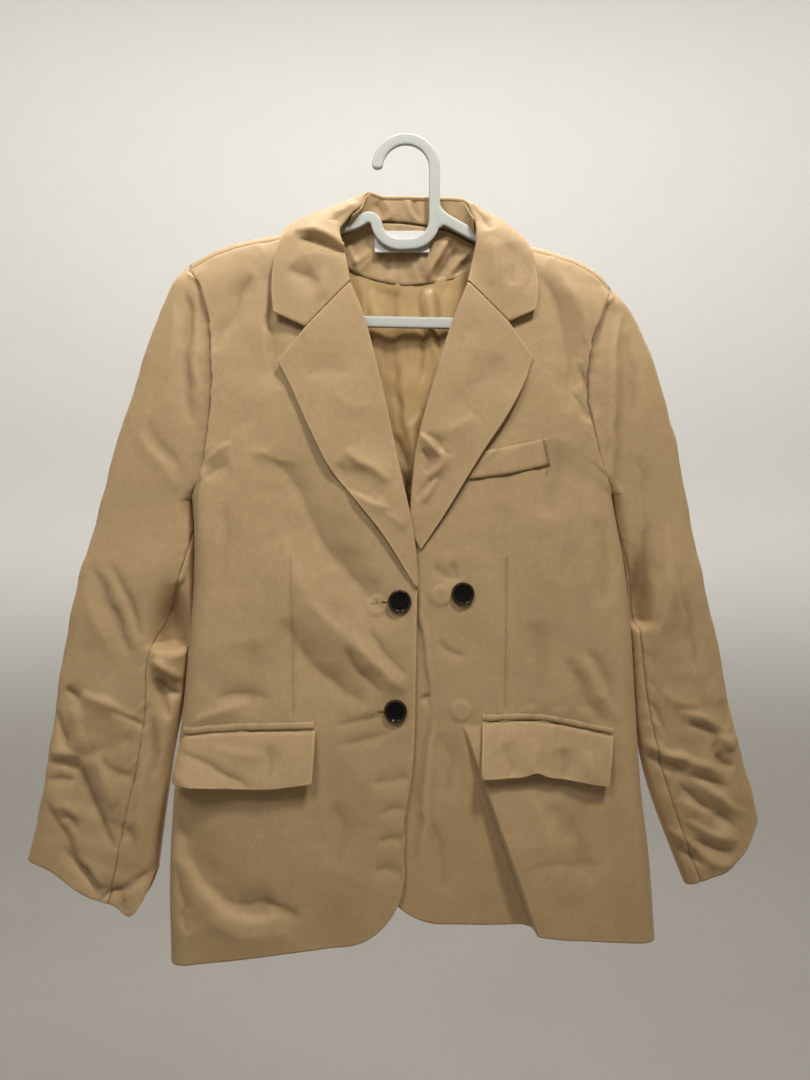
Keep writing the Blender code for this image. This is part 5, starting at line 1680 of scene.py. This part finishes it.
def make_lapels():
    """The turned lapels: each rolls over its front's edge and lies on the front.

    Near the gorge its depth blends into the collar's end, to which it is sewn.
    """
    count, down = GRIDS["lapel"]
    across = denser_ends(count, share=0.4)
    rows = np.linspace(0, len(LAPEL_RIGHT) - 1, down)
    sides = (
        ("right", LAPEL_RIGHT, NOTCH_RIGHT, COLLAR[0], COLLAR_ENDS[0]),
        ("left", LAPEL_LEFT, NOTCH_LEFT, COLLAR[-1], COLLAR_ENDS[1]),
    )
    for side, table, notch, collar_row, collar_end in sides:
        row = columns(LAPEL_COLUMNS, table, rows)
        roll = np.column_stack([row["roll_x"], row["roll_z"]])
        edge = np.column_stack([row["edge_x"], row["edge_z"]])
        flat = roll[:, None] + (edge - roll)[:, None] * across[None, :, None]
        top = notched_row(roll[0], np.array(notch, float), edge[0], across) - flat[0]
        fade = np.maximum(1 - rows / NOTCH_ROWS, 0) ** NOTCH_POWER
        flat = flat + top[None] * fade[:, None, None]
        x, z = flat[..., 0], flat[..., 1]
        is_right = side == "right"
        base = body_depth(x, z, "front") + (overlap_lift(x, z) if is_right else 0.0)
        to_edge, to_gorge = LAPEL_STAND_POWERS
        stand = across[None, :] ** to_edge * (1 - rows / rows[-1])[:, None] ** to_gorge
        depth = base + LAYER + LAPEL_STAND[side] * stand
        sewn_y = (collar_row[1], collar_end[1], collar_end[1] + 1)
        end_depth = -np.interp(across, (0, NOTCH_AT, 1), sewn_y)
        end_depth = end_depth + COLLAR_BULGE * COLLAR_END_BULGE * collar_arch(across)
        near_gorge = 1 - ease(rows / GORGE_ROWS)
        depth = depth + (end_depth[None] - depth[:1]) * near_gorge[:, None]
        uneven = LAPEL_UNEVENNESS * soft_noise(x, z, size=24, seed=16)
        depth = depth + creased(x, z, LAPEL_CREASES) + uneven
        folds = front_folds(x, z, -1 if is_right else 1) * body_round(x, z)
        depth = clear_of(depth, base + folds + LAYER_CLEARANCE)
        under = ROLL_UNDERSIDE * ease((rows[-1] - rows) / LAPEL_FOOT_ROWS)[:, None]
        cloth_piece(
            f"lapel_cloth_{side}", rolled(np.stack([x, -depth, z], axis=-1), under, not is_right),
            f"lapel_{side}", thickness=THIN_CLOTH, flip=not is_right, rim=0.4,
        )


def collar_rows(v):
    """Roll line and outer edge of the collar at fractional row numbers."""
    row = columns(COLLAR_COLUMNS, COLLAR, v)
    roll = np.column_stack([row["roll_x"], row["roll_y"], row["roll_z"]])
    edge = np.column_stack([row["edge_x"], row["edge_y"], row["edge_z"]])
    return roll, edge


def make_collar():
    """The collar's fall, rolled over its top line, and the stand inside it."""
    count, along = GRIDS["collar_fall"]
    v = np.linspace(0, len(COLLAR) - 1, along)
    roll, edge = collar_rows(v)
    across = denser_ends(count, share=0.2)
    fall = roll[:, None] + (edge - roll)[:, None] * across[None, :, None]
    normal = unit(np.cross(np.gradient(fall, axis=0), np.gradient(fall, axis=1)))
    near_end = ease(np.minimum(v, v[-1] - v) / COLLAR_END_ROWS)
    share = COLLAR_END_BULGE + (1 - COLLAR_END_BULGE) * near_end
    bulge = COLLAR_BULGE * collar_arch(across) * share[:, None]
    fall = fall + normal * bulge[..., None]
    for end, row, fade in ((0, 0, v), (1, -1, v[-1] - v)):
        notched = notched_row(roll[row], np.array(COLLAR_ENDS[end], float), edge[row], across)
        fade = np.maximum(1 - fade / COLLAR_NOTCH_ROWS, 0) ** 2
        fall = fall + (notched - fall[row])[None] * fade[:, None, None]
    x, y, z = fall[..., 0], fall[..., 1], fall[..., 2]
    last_y, fade_y = COLLAR_CREASED
    folds = creased(x, z, COLLAR_CREASES) * ease((last_y - y) / fade_y)
    folds = folds + COLLAR_UNEVENNESS * soft_noise(x + y, z, size=22, seed=17)
    fall = fall + normal * folds[..., None]
    fall = rolled(fall, np.full((len(v), 1), COLLAR_UNDERSIDE), True)
    cloth_piece("collar_fall_cloth", fall, "collar_fall", flip=True)
    count, along = GRIDS["collar_stand"]
    v = np.linspace(*STAND_ROWS, along)
    roll, edge = collar_rows(v)
    foot = smooth_rows(STAND_FOOT, np.linspace(0, len(STAND_FOOT) - 1, along))
    inwards = unit((NECK_CENTRE - roll) * (1, 1, 0))
    top = roll + STAND_INSIDE * inwards - (0, 0, STAND_BELOW)
    down = np.linspace(0, 1, count)
    stand = top[:, None] + (foot - top)[:, None] * down[None, :, None]
    x, z = stand[..., 0], stand[..., 2]
    uneven = STAND_UNEVENNESS * soft_noise(x, z, size=15, seed=18)
    stand[..., 1] -= creased(x, z, STAND_CREASES) + uneven
    cloth_piece(
        "collar_stand_cloth", stand, "collar_stand", thickness=THIN_CLOTH,
        seams="right",
    )


def inside_back(x, y, z, gap):
    """The place y of a layer inside the back, kept a gap clear of the back's own folds."""
    back = body_depth(x, z, "back") + back_folds(x, z) * body_round(x, z)
    return -clear_of(-y, gap - back)


def make_inside():
    """What shows inside the neck: the back neck facing, the lining and the label."""
    count, rows = GRIDS["neck_facing"]
    row = columns(FACING_COLUMNS, FACING, np.linspace(0, len(FACING) - 1, count))
    down = np.linspace(0, 1, rows)[:, None]
    z = row["top_z"] + (row["bottom_z"] - row["top_z"]) * down
    x = row["x"] + 0 * z
    seam = np.exp(-(((x - FACING_SEAM["x"]) / FACING_SEAM["reach"]) ** 2)) * FACING_SEAM["height"]
    y = np.minimum(FACING_DEPTH, body_depth(x, z, "back") - LAYER)
    uneven = FACING_UNEVENNESS * soft_noise(x, z, size=14, seed=19)
    y = y - creased(x, z, INSIDE_CREASES) - uneven + seam
    y = inside_back(x, y, z, 2 * LAYER_CLEARANCE)
    cloth_piece(
        "neck_facing_cloth", np.stack([x, y, z], axis=-1), "neck_facing",
        thickness=THIN_CLOTH, seams="bottom", flip=True,
    )
    count, rows = GRIDS["lining"]
    across = LINING_HALF_WIDTH * np.linspace(-1, 1, count)
    head = np.interp(across, row["x"], row["bottom_z"]) + LINING_UNDER_FACING
    down = np.linspace(0, 1, rows)[:, None]
    z = head + (LINING_FOOT_Z - head) * down
    x = across + 0 * z
    y = LINING_DEPTH[0] + (LINING_DEPTH[1] - LINING_DEPTH[0]) * down + 0 * x
    (upright, stretch), slanted = LINING_UPRIGHT, LINING_SLANTED
    folds = creased(x, z, LINING_CREASES)
    folds = folds + upright * soft_noise(x, stretch * z, size=9, seed=21)
    folds = folds + slanted * soft_noise(x + z, z, size=26, seed=22)
    flat_z, fade_z = LINING_FLAT
    y = y - folds * ease((head - z - flat_z) / fade_z)
    y = inside_back(x, y, z, LAYER_CLEARANCE)
    cloth_piece(
        "lining_cloth", np.stack([x, y, z], axis=-1), "lining_back",
        thickness=THIN_CLOTH, slot="lining", material="satin_lining", flip=True,
    )
    (top_z, foot_z), tilt = LABEL["z"], LABEL["tilt"]
    count, rows = GRIDS["label"]
    x, z = np.meshgrid(np.linspace(*LABEL["x"], count), np.linspace(top_z, foot_z, rows))
    y = FACING_DEPTH - LABEL["stand"] - tilt * (top_z - z) / (top_z - foot_z)
    y = y + LABEL["unevenness"] * soft_noise(x, z, size=16, seed=23)
    cloth_piece(
        "neck_label_tape", np.stack([x, y, z], axis=-1), "neck_label",
        thickness=LABEL["thickness"], slot="label", material="woven_label",
        rim=0.3, flip=True,
    )


def laid_on_front(x, z, lift, stand):
    """Points at x and z on a front, moved out by a layer square to it and then forwards."""
    base = body_depth(x, z, "front")
    half = SLOPE_OVER / 2
    slope_x = body_depth(x + half, z, "front") - body_depth(x - half, z, "front")
    slope_z = body_depth(x, z + half, "front") - body_depth(x, z - half, "front")
    out = unit(np.stack([-slope_x, -np.ones_like(x), -slope_z], axis=-1))
    points = np.stack([x, -(base + lift), z], axis=-1) + out * LAYER
    points[..., 1] -= stand
    return points


def make_pockets():
    """Jets, flaps and the chest welt, each on its front's own surface, moved out.

    A flap's lower corners, and the outer upper one of the right flap, are quarter circles.
    """
    for name, shape in POCKETS.items():
        is_flap, is_right = "flap" in name, name.endswith("right")
        count, rows = GRIDS["flap" if is_flap else "jet"]
        ends = 2 * denser_ends(count)
        top, bottom = (smooth_rows(shape[edge], ends) for edge in ("top", "bottom"))
        down = (denser_ends(rows, share=0.4) if is_flap else np.linspace(0, 1, rows))[:, None]
        flat = top[None] + (bottom - top)[None] * down[..., None]
        x, z = flat[..., 0], flat[..., 1]
        low, high = shape["stand"]
        stand = low + (high - low) * down**POCKET_STAND_POWER
        if name == "flap_left":
            arch = np.exp(-(((x - FLAP_WAVE_X) / FLAP_WAVE_REACH) ** 2))
            z = z + FLAP_WAVE_HEIGHT * arch * down**3
        cloth = front_folds(x, z, -1 if is_right else 1) * body_round(x, z)
        if is_flap:
            from_ends = np.minimum(x - x[:, :1], x[:, -1:] - x)
            z = z + corner_rise(from_ends, FLAP_CORNER) * down**3
            if is_right:
                z = z - corner_rise(x - x[:, :1], FLAP_TOP_CORNER) * (1 - down) ** 2
            stand = stand + creased(x, z, FLAP_CREASES) * ease(down * 2)
            stand = stand + FLAP_UNEVENNESS * soft_noise(x, z, size=18, seed=24)
            stand = clear_of(LAYER + stand, cloth + LAYER_CLEARANCE) - LAYER
        else:
            stand = stand + cloth - JET_SUNK
        lift = overlap_lift(x, z) if is_right else pleat_lift(x, z)
        cloth_piece(
            f"{name}_cloth", laid_on_front(x, z, lift, stand), name,
            thickness=THIN_CLOTH if is_flap else JET_CLOTH,
            seams="top" if is_flap else "top bottom", flip=True,
        )


def turned(profile, segments, centre):
    """A solid turned about a line along Y: the profile runs from the back pole to the front one.

    Each profile row is radius, height and edge mark; the poles are single points.
    """
    angle = np.linspace(0, 2 * math.pi, segments, endpoint=False)
    radius, height, edge = profile.T
    ring = np.stack([
        centre[0] + radius[1:-1, None] * np.cos(angle),
        centre[1] - np.repeat(height[1:-1, None], segments, axis=1),
        centre[2] + radius[1:-1, None] * np.sin(angle),
    ], axis=-1).reshape(-1, 3)
    poles = [[centre[0], centre[1] - height[k], centre[2]] for k in (0, -1)]
    number = np.arange(len(ring)).reshape(-1, segments)
    caps = [[pole, b, a] for pole, a, b in pole_faces(len(ring), number[0])]
    caps += pole_faces(len(ring) + 1, number[-1])
    marks = np.concatenate([np.repeat(np.clip(edge[1:-1], 0, 1), segments), [0, 0]])
    return np.concatenate([ring, poles]), ring_faces(number) + caps, marks


def make_buttons():
    """Three turned buttons: a rounded rim, a groove inside it and a dished middle."""
    size = bpy.context.scene.blazer_buttons.radius / MM
    knots = np.array(BUTTON_PROFILE) * (size, BUTTON_THICKNESS / 2, 1)
    last = len(knots) - 1
    profile = smooth_rows(knots, np.linspace(0, last, BUTTON_STEPS * last + 1))
    profile[0, 0] = profile[-1, 0] = 0.0
    for name, (x, z, lift) in BUTTONS.items():
        place = np.array([float(x)]), np.array([float(z)])
        folds = front_folds(*place, math.copysign(1, x - BUTTON_SPLIT)) * body_round(*place)
        depth = float((body_depth(*place, "front") + folds)[0]) + lift + BUTTON_STANDOFF
        points, faces, marks = turned(profile, BUTTON_SEGMENTS, (x, -depth, z))
        piece = add_mesh(f"{name}_disc", points, faces, "cast_polyester", edge=marks)
        place_piece(piece, "button", name)


def filleted(points):
    """A path of straight runs whose corners are rounded: each point is x, z and its radius."""
    out = [np.array(points[0][:2], float)[None]]
    for before, here, after in zip(points[:-2], points[1:-1], points[2:]):
        corner = np.array(here[:2], float)
        a, b = unit(np.array(before[:2]) - corner), unit(np.array(after[:2]) - corner)
        half = math.acos(float(np.clip(a @ b, -1, 1))) / 2
        middle = corner + unit(a + b) * here[2] / math.sin(half)
        reach = here[2] / math.tan(half)
        start, end = corner + a * reach - middle, corner + b * reach - middle
        first = math.atan2(start[1], start[0])
        sweep = (math.atan2(end[1], end[0]) - first + math.pi) % (2 * math.pi) - math.pi
        angle = first + sweep * np.linspace(0, 1, FILLET_STEPS)
        out.append(middle + here[2] * np.column_stack([np.cos(angle), np.sin(angle)]))
    out.append(np.array(points[-1][:2], float)[None])
    return np.concatenate(out)


def make_hanger():
    """The hanger: one flat bar with rounded edges, carried along the hook and the loop.

    The section is a superellipse, and at the loop's end it widens into the stem.
    """
    settings = bpy.context.scene.blazer_hanger
    turn = np.linspace(HOOK_SWEEP, 0, HOOK_STEPS)
    hook = np.column_stack([
        HOOK_RADIUS * np.cos(turn), HOOK_CENTRE_Z + HOOK_RADIUS * np.sin(turn),
    ])
    path = np.concatenate([hook, filleted(HANGER_LOOP)])
    length = np.concatenate([[0], np.cumsum(np.linalg.norm(np.diff(path, axis=0), axis=1))])
    tip = BAR_TIP * (1 - np.cos(np.linspace(0, math.pi / 2, 9)))
    at = np.concatenate([
        tip[:-1], np.arange(BAR_TIP, length[-1] - BAR_END, BAR_STEP),
        length[-1] - np.linspace(BAR_END, 1.5, 12),
    ])
    line = np.column_stack([np.interp(at, length, path[:, 0]), np.interp(at, length, path[:, 1])])
    step = unit(np.gradient(line, axis=0))
    side = np.column_stack([-step[:, 1], step[:, 0]])
    upright = np.column_stack([0 * at, side[:, 1] / np.maximum(side[:, 1] ** 2, 0.3)])
    left_to_end = length[-1] - at
    side = side + (upright - side) * ease((16 - left_to_end) / 9)[:, None]
    angle = np.linspace(0, 2 * math.pi, BAR_SEGMENTS, endpoint=False)
    wide, deep = (
        np.sign(wave) * np.abs(wave) ** (2 / BAR_POWER) for wave in (np.cos(angle), np.sin(angle))
    )
    tipped = np.sqrt(np.clip(1 - (1 - np.clip(at / BAR_TIP, 0, 1)) ** 2, 0.0004, 1))
    flare = 1 + BAR_FLARE * np.exp(-np.maximum(left_to_end - 6.2, 0) / 3.0)
    scale = (settings.bar_width / MM / 2 * tipped * flare)[:, None] * wide
    x = line[:, 0, None] + side[:, 0, None] * scale
    z = line[:, 1, None] + side[:, 1, None] * scale
    y = 0 * x + settings.bar_thickness / MM / 2 * np.minimum(tipped * 1.2, 1)[:, None] * deep
    number = np.arange(x.size).reshape(x.shape)
    faces = ring_faces(number, True) + [number[0].tolist(), number[-1, ::-1].tolist()]
    points = np.stack([x, y, z], axis=-1).reshape(-1, 3)
    piece = add_mesh("moulded_hanger", points, faces, "moulded_polypropylene")
    place_piece(piece, "hanger", "hanger")


def on_front(x, z, sign, out):
    """A point that stands out from a front's cloth."""
    lift = overlap_lift(x, z) if sign < 0 else pleat_lift(x, z)
    depth = body_depth(x, z, "front") + lift + front_folds(x, z, sign) * body_round(x, z) + out
    return np.stack([x, -depth, z], axis=-1)


def make_stitching():
    """Buttonholes beside the right front's buttons, bar tacks on the welt's end, the darts' seams
    and loose ends."""
    stitches = []
    for x, z in BUTTONHOLES:
        places = np.linspace(-BUTTONHOLE_HALF, BUTTONHOLE_HALF, BUTTONHOLE_COUNT)
        for k, dx in enumerate(places):
            reach = BUTTONHOLE_REACH[k % 2]
            zs = z + np.array([-reach, -0.3, 0.3, reach])
            stitches.append(on_front(np.full(4, x + dx), zs, -1, np.array(STITCH_OUT)))
    tube("buttonhole_stitches", stitches, 0.32, "sewing_thread")
    tacks = []
    for t in np.linspace(0, 1, TACK_COUNT):
        xs = TACK_START[0] + TACK_WAY[0] * t + np.array(TACK_X)
        zs = TACK_START[1] + TACK_WAY[1] * t + np.array(TACK_Z)
        tacks.append(on_front(xs, zs, 1, np.array(TACK_OUT)))
    tube("welt_tacks", tacks, 0.28, "sewing_thread")
    lines = []
    for sign, (top, foot) in DARTS.items():
        along = np.linspace(0.02, 0.98, 90)
        xs, zs = (a + (b - a) * along for a, b in zip(top, foot))
        lines.append(on_front(xs, zs, sign, DART_OUT))
    # The dart lines are painted darker through the edge mark: painted shade of their grooves
    tube("dart_seams", lines, 0.3, "twill_suiting", sides=6, mark=-0.45)
    ends = []
    for sign, points in LOOSE_ENDS:
        path = smooth_rows(points, np.linspace(0, len(points) - 1, LOOSE_STEPS))
        least, more = LOOSE_OUT
        out = least + more * np.sin(np.linspace(0, math.pi, LOOSE_STEPS))
        ends.append(on_front(path[:, 0], path[:, 1], sign, out))
    tube("loose_ends", ends, 0.22, "sewing_thread")


def aim(item, target):
    """Turns a light towards a point: its -Z ahead, its +Y up."""
    direction = Vector(target) - item.location
    item.rotation_euler = direction.to_track_quat("-Z", "Y").to_euler()


def make_stage():
    """A pale round cove that is floor and backdrop, soft lights, and the camera.

    The cove is a profile turned about Z: a flat floor, a quarter circle and an upright wall.
    """
    settings = bpy.context.scene.blazer_stage
    bend = np.linspace(0, math.pi / 2, 24)
    wall = FLOOR_RADIUS + COVE_RADIUS
    radius = np.concatenate([[0.5, 1.5], FLOOR_RADIUS + COVE_RADIUS * np.sin(bend), [wall, wall]])
    height = np.concatenate([[0, 0], COVE_RADIUS * (1 - np.cos(bend)), [3.6, WALL_TOP - FLOOR_Z]])
    turn = np.linspace(0, 2 * math.pi, 96, endpoint=False)
    x, y = radius[:, None] * np.cos(turn), radius[:, None] * np.sin(turn)
    z = FLOOR_Z + height[:, None] + 0 * turn
    points = np.concatenate([np.stack([x, y, z], axis=-1).reshape(-1, 3), [[0, 0, FLOOR_Z]]]) / MM
    number = np.arange(x.size).reshape(x.shape)
    faces = ring_faces(number, True) + pole_faces(x.size, number[0])
    add_mesh("studio_cove", points, faces, "plain_backdrop")
    world = bpy.data.worlds.new("studio")
    world.use_nodes = True
    air = world.node_tree.nodes["Background"]
    air.inputs["Color"].default_value = (*settings.air_colour, 1.0)
    air.inputs["Strength"].default_value = settings.air_strength
    scene = bpy.context.scene
    scene.world = world
    for name, (place, target, spread, size, colour) in LIGHTS.items():
        lamp = bpy.data.lights.new(f"{name}_light", "AREA")
        lamp.shape = "DISK"
        lamp.size = size
        lamp.energy = getattr(settings, f"{name}_power")
        lamp.spread = math.radians(spread)
        lamp.color = colour
        item = bpy.data.objects.new(f"{name}_light", lamp)
        item.location = place
        aim(item, target)
        scene.collection.objects.link(item)
    eye = bpy.data.cameras.new("camera")
    eye.sensor_fit = "HORIZONTAL"
    eye.sensor_width = 36.0
    eye.lens = 36.0
    eye.clip_start = 0.01
    item = bpy.data.objects.new("camera", eye)
    item.location = CAMERA_PLACE
    item.rotation_euler = (math.pi / 2, 0.0, 0.0)
    scene.collection.objects.link(item)
    scene.camera = item
    scene.view_settings.view_transform = "Standard"


class BlazerCloth(PropertyGroup):
    """Colours and weave of the jacket's cloth."""
    shell_colour: FloatVectorProperty(
        name="Shell colour", description="Linear colour of the suiting", subtype="COLOR",
        size=3, min=0, max=1, default=to_linear("#B7996F")[:3],
    )
    lining_colour: FloatVectorProperty(
        name="Lining colour", description="Linear colour of the satin lining", subtype="COLOR",
        size=3, min=0, max=1, default=to_linear("#C6A36E")[:3],
    )
    rib_pitch: FloatProperty(
        name="Rib pitch", description="Spacing of the twill's ribs in millimetres",
        default=1.1, min=0.3, max=5,
    )
    fold_depth: FloatProperty(
        name="Fold depth", description="How many times their tables' height the creases have",
        default=2.0, min=0, max=3,
    )


class BlazerHanger(PropertyGroup):
    """Sizes and colour of the hanger."""
    bar_width: FloatProperty(
        name="Bar width", description="Width of the flat bar", unit="LENGTH",
        default=BAR_WIDTH * MM, min=0.005, max=0.02,
    )
    bar_thickness: FloatProperty(
        name="Bar thickness", description="Thickness of the flat bar", unit="LENGTH",
        default=BAR_THICKNESS * MM, min=0.002, max=0.01,
    )
    colour: FloatVectorProperty(
        name="Colour", description="Linear colour of the plastic", subtype="COLOR",
        size=3, min=0, max=1, default=to_linear("#C8C9C0")[:3],
    )


class BlazerButtons(PropertyGroup):
    """Size and colour of the buttons."""
    radius: FloatProperty(
        name="Radius", description="Radius of a button", unit="LENGTH",
        default=BUTTON_RADIUS * MM, min=0.005, max=0.02,
    )
    colour: FloatVectorProperty(
        name="Colour", description="Linear colour of the buttons", subtype="COLOR",
        size=3, min=0, max=1, default=to_linear("#050506")[:3],
    )


class BlazerStage(PropertyGroup):
    """Colours and powers of the stage and its lights."""
    colour: FloatVectorProperty(
        name="Backdrop", description="Linear colour of the cove", subtype="COLOR",
        size=3, min=0, max=1, default=to_linear("#D4D2CD")[:3],
    )
    # The floor's deeper grey is partly its own paint and partly painted shade for light falling
    # off towards the bottom
    floor_colour: FloatVectorProperty(
        name="Floor", description="Linear colour of the floor", subtype="COLOR",
        size=3, min=0, max=1, default=to_linear("#8C8882")[:3],
    )
    air_colour: FloatVectorProperty(
        name="Air", description="Linear colour of the light from all round", subtype="COLOR",
        size=3, min=0, max=1, default=to_linear("#F2F1EF")[:3],
    )
    air_strength: FloatProperty(
        name="Air strength", description="Strength of the light from all round",
        default=0.015, min=0,
    )
    key_power: FloatProperty(
        name="Key power", description="Power of the light from above", unit="POWER",
        default=7.2, min=0,
    )
    fill_power: FloatProperty(
        name="Fill power", description="Power of the light from the front", unit="POWER",
        default=1.9, min=0,
    )
    cove_power: FloatProperty(
        name="Cove power", description="Power of the light on the backdrop", unit="POWER",
        default=282.0, min=0,
    )
    back_power: FloatProperty(
        name="Back power", description="Power of the light from behind", unit="POWER",
        default=4.0, min=0,
    )


class BLAZER_OT_hanger(Operator):
    """Build the moulded hanger"""
    bl_idname = "blazer.hanger"
    bl_label = "Hanger"

    def execute(self, context):
        make_hanger()
        return {"FINISHED"}


class BLAZER_OT_backs(Operator):
    """Build the two halves of the back"""
    bl_idname = "blazer.backs"
    bl_label = "Backs"

    def execute(self, context):
        make_backs()
        return {"FINISHED"}


class BLAZER_OT_fronts(Operator):
    """Build the two fronts"""
    bl_idname = "blazer.fronts"
    bl_label = "Fronts"

    def execute(self, context):
        make_fronts()
        return {"FINISHED"}


class BLAZER_OT_sleeves(Operator):
    """Build the two-piece sleeves"""
    bl_idname = "blazer.sleeves"
    bl_label = "Sleeves"

    def execute(self, context):
        make_sleeves()
        return {"FINISHED"}


class BLAZER_OT_lapels(Operator):
    """Build the lapels"""
    bl_idname = "blazer.lapels"
    bl_label = "Lapels"

    def execute(self, context):
        make_lapels()
        return {"FINISHED"}


class BLAZER_OT_collar(Operator):
    """Build the collar's fall and stand"""
    bl_idname = "blazer.collar"
    bl_label = "Collar"

    def execute(self, context):
        make_collar()
        return {"FINISHED"}


class BLAZER_OT_inside(Operator):
    """Build the neck facing, the lining and the label"""
    bl_idname = "blazer.inside"
    bl_label = "Inside of the neck"

    def execute(self, context):
        make_inside()
        return {"FINISHED"}


class BLAZER_OT_pockets(Operator):
    """Build the jets, the flaps and the chest welt"""
    bl_idname = "blazer.pockets"
    bl_label = "Pockets"

    def execute(self, context):
        make_pockets()
        return {"FINISHED"}


class BLAZER_OT_buttons(Operator):
    """Build the buttons"""
    bl_idname = "blazer.buttons"
    bl_label = "Buttons"

    def execute(self, context):
        make_buttons()
        return {"FINISHED"}


class BLAZER_OT_stitching(Operator):
    """Build the buttonholes, bar tacks and thread ends"""
    bl_idname = "blazer.stitching"
    bl_label = "Stitching"

    def execute(self, context):
        make_stitching()
        return {"FINISHED"}


class BLAZER_OT_stage(Operator):
    """Build the cove, the lights and the camera"""
    bl_idname = "blazer.stage"
    bl_label = "Stage"

    def execute(self, context):
        make_stage()
        return {"FINISHED"}


OPERATORS = (
    BLAZER_OT_hanger, BLAZER_OT_backs, BLAZER_OT_fronts, BLAZER_OT_sleeves, BLAZER_OT_lapels,
    BLAZER_OT_collar, BLAZER_OT_inside, BLAZER_OT_pockets, BLAZER_OT_buttons, BLAZER_OT_stitching,
    BLAZER_OT_stage,
)
GROUPS = {
    "blazer_cloth": BlazerCloth,
    "blazer_hanger": BlazerHanger,
    "blazer_buttons": BlazerButtons,
    "blazer_stage": BlazerStage,
}


class BLAZER_PT_panel(Panel):
    """Lists the jacket's settings and the operators that build its pieces"""
    bl_idname = "BLAZER_PT_panel"
    bl_label = "Blazer"
    bl_space_type = "VIEW_3D"
    bl_region_type = "UI"
    bl_category = "Blazer"

    def draw(self, context):
        for name, group in GROUPS.items():
            box = self.layout.box()
            for prop in group.__annotations__:
                box.prop(getattr(context.scene, name), prop)
        for operator in OPERATORS:
            self.layout.operator(operator.bl_idname)


def register():
    for name, group in GROUPS.items():
        bpy.utils.register_class(group)
        setattr(bpy.types.Scene, name, PointerProperty(type=group))
    for item in (*OPERATORS, BLAZER_PT_panel):
        bpy.utils.register_class(item)


def unregister():
    for item in (BLAZER_PT_panel, *reversed(OPERATORS)):
        bpy.utils.unregister_class(item)
    for name, group in GROUPS.items():
        delattr(bpy.types.Scene, name)
        bpy.utils.unregister_class(group)


def main():
    """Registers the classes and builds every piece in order."""
    register()
    bpy.ops.blazer.hanger()
    bpy.ops.blazer.backs()
    bpy.ops.blazer.fronts()
    bpy.ops.blazer.sleeves()
    bpy.ops.blazer.lapels()
    bpy.ops.blazer.collar()
    bpy.ops.blazer.inside()
    bpy.ops.blazer.pockets()
    bpy.ops.blazer.buttons()
    bpy.ops.blazer.stitching()
    bpy.ops.blazer.stage()


if __name__ == "__main__":
    main()
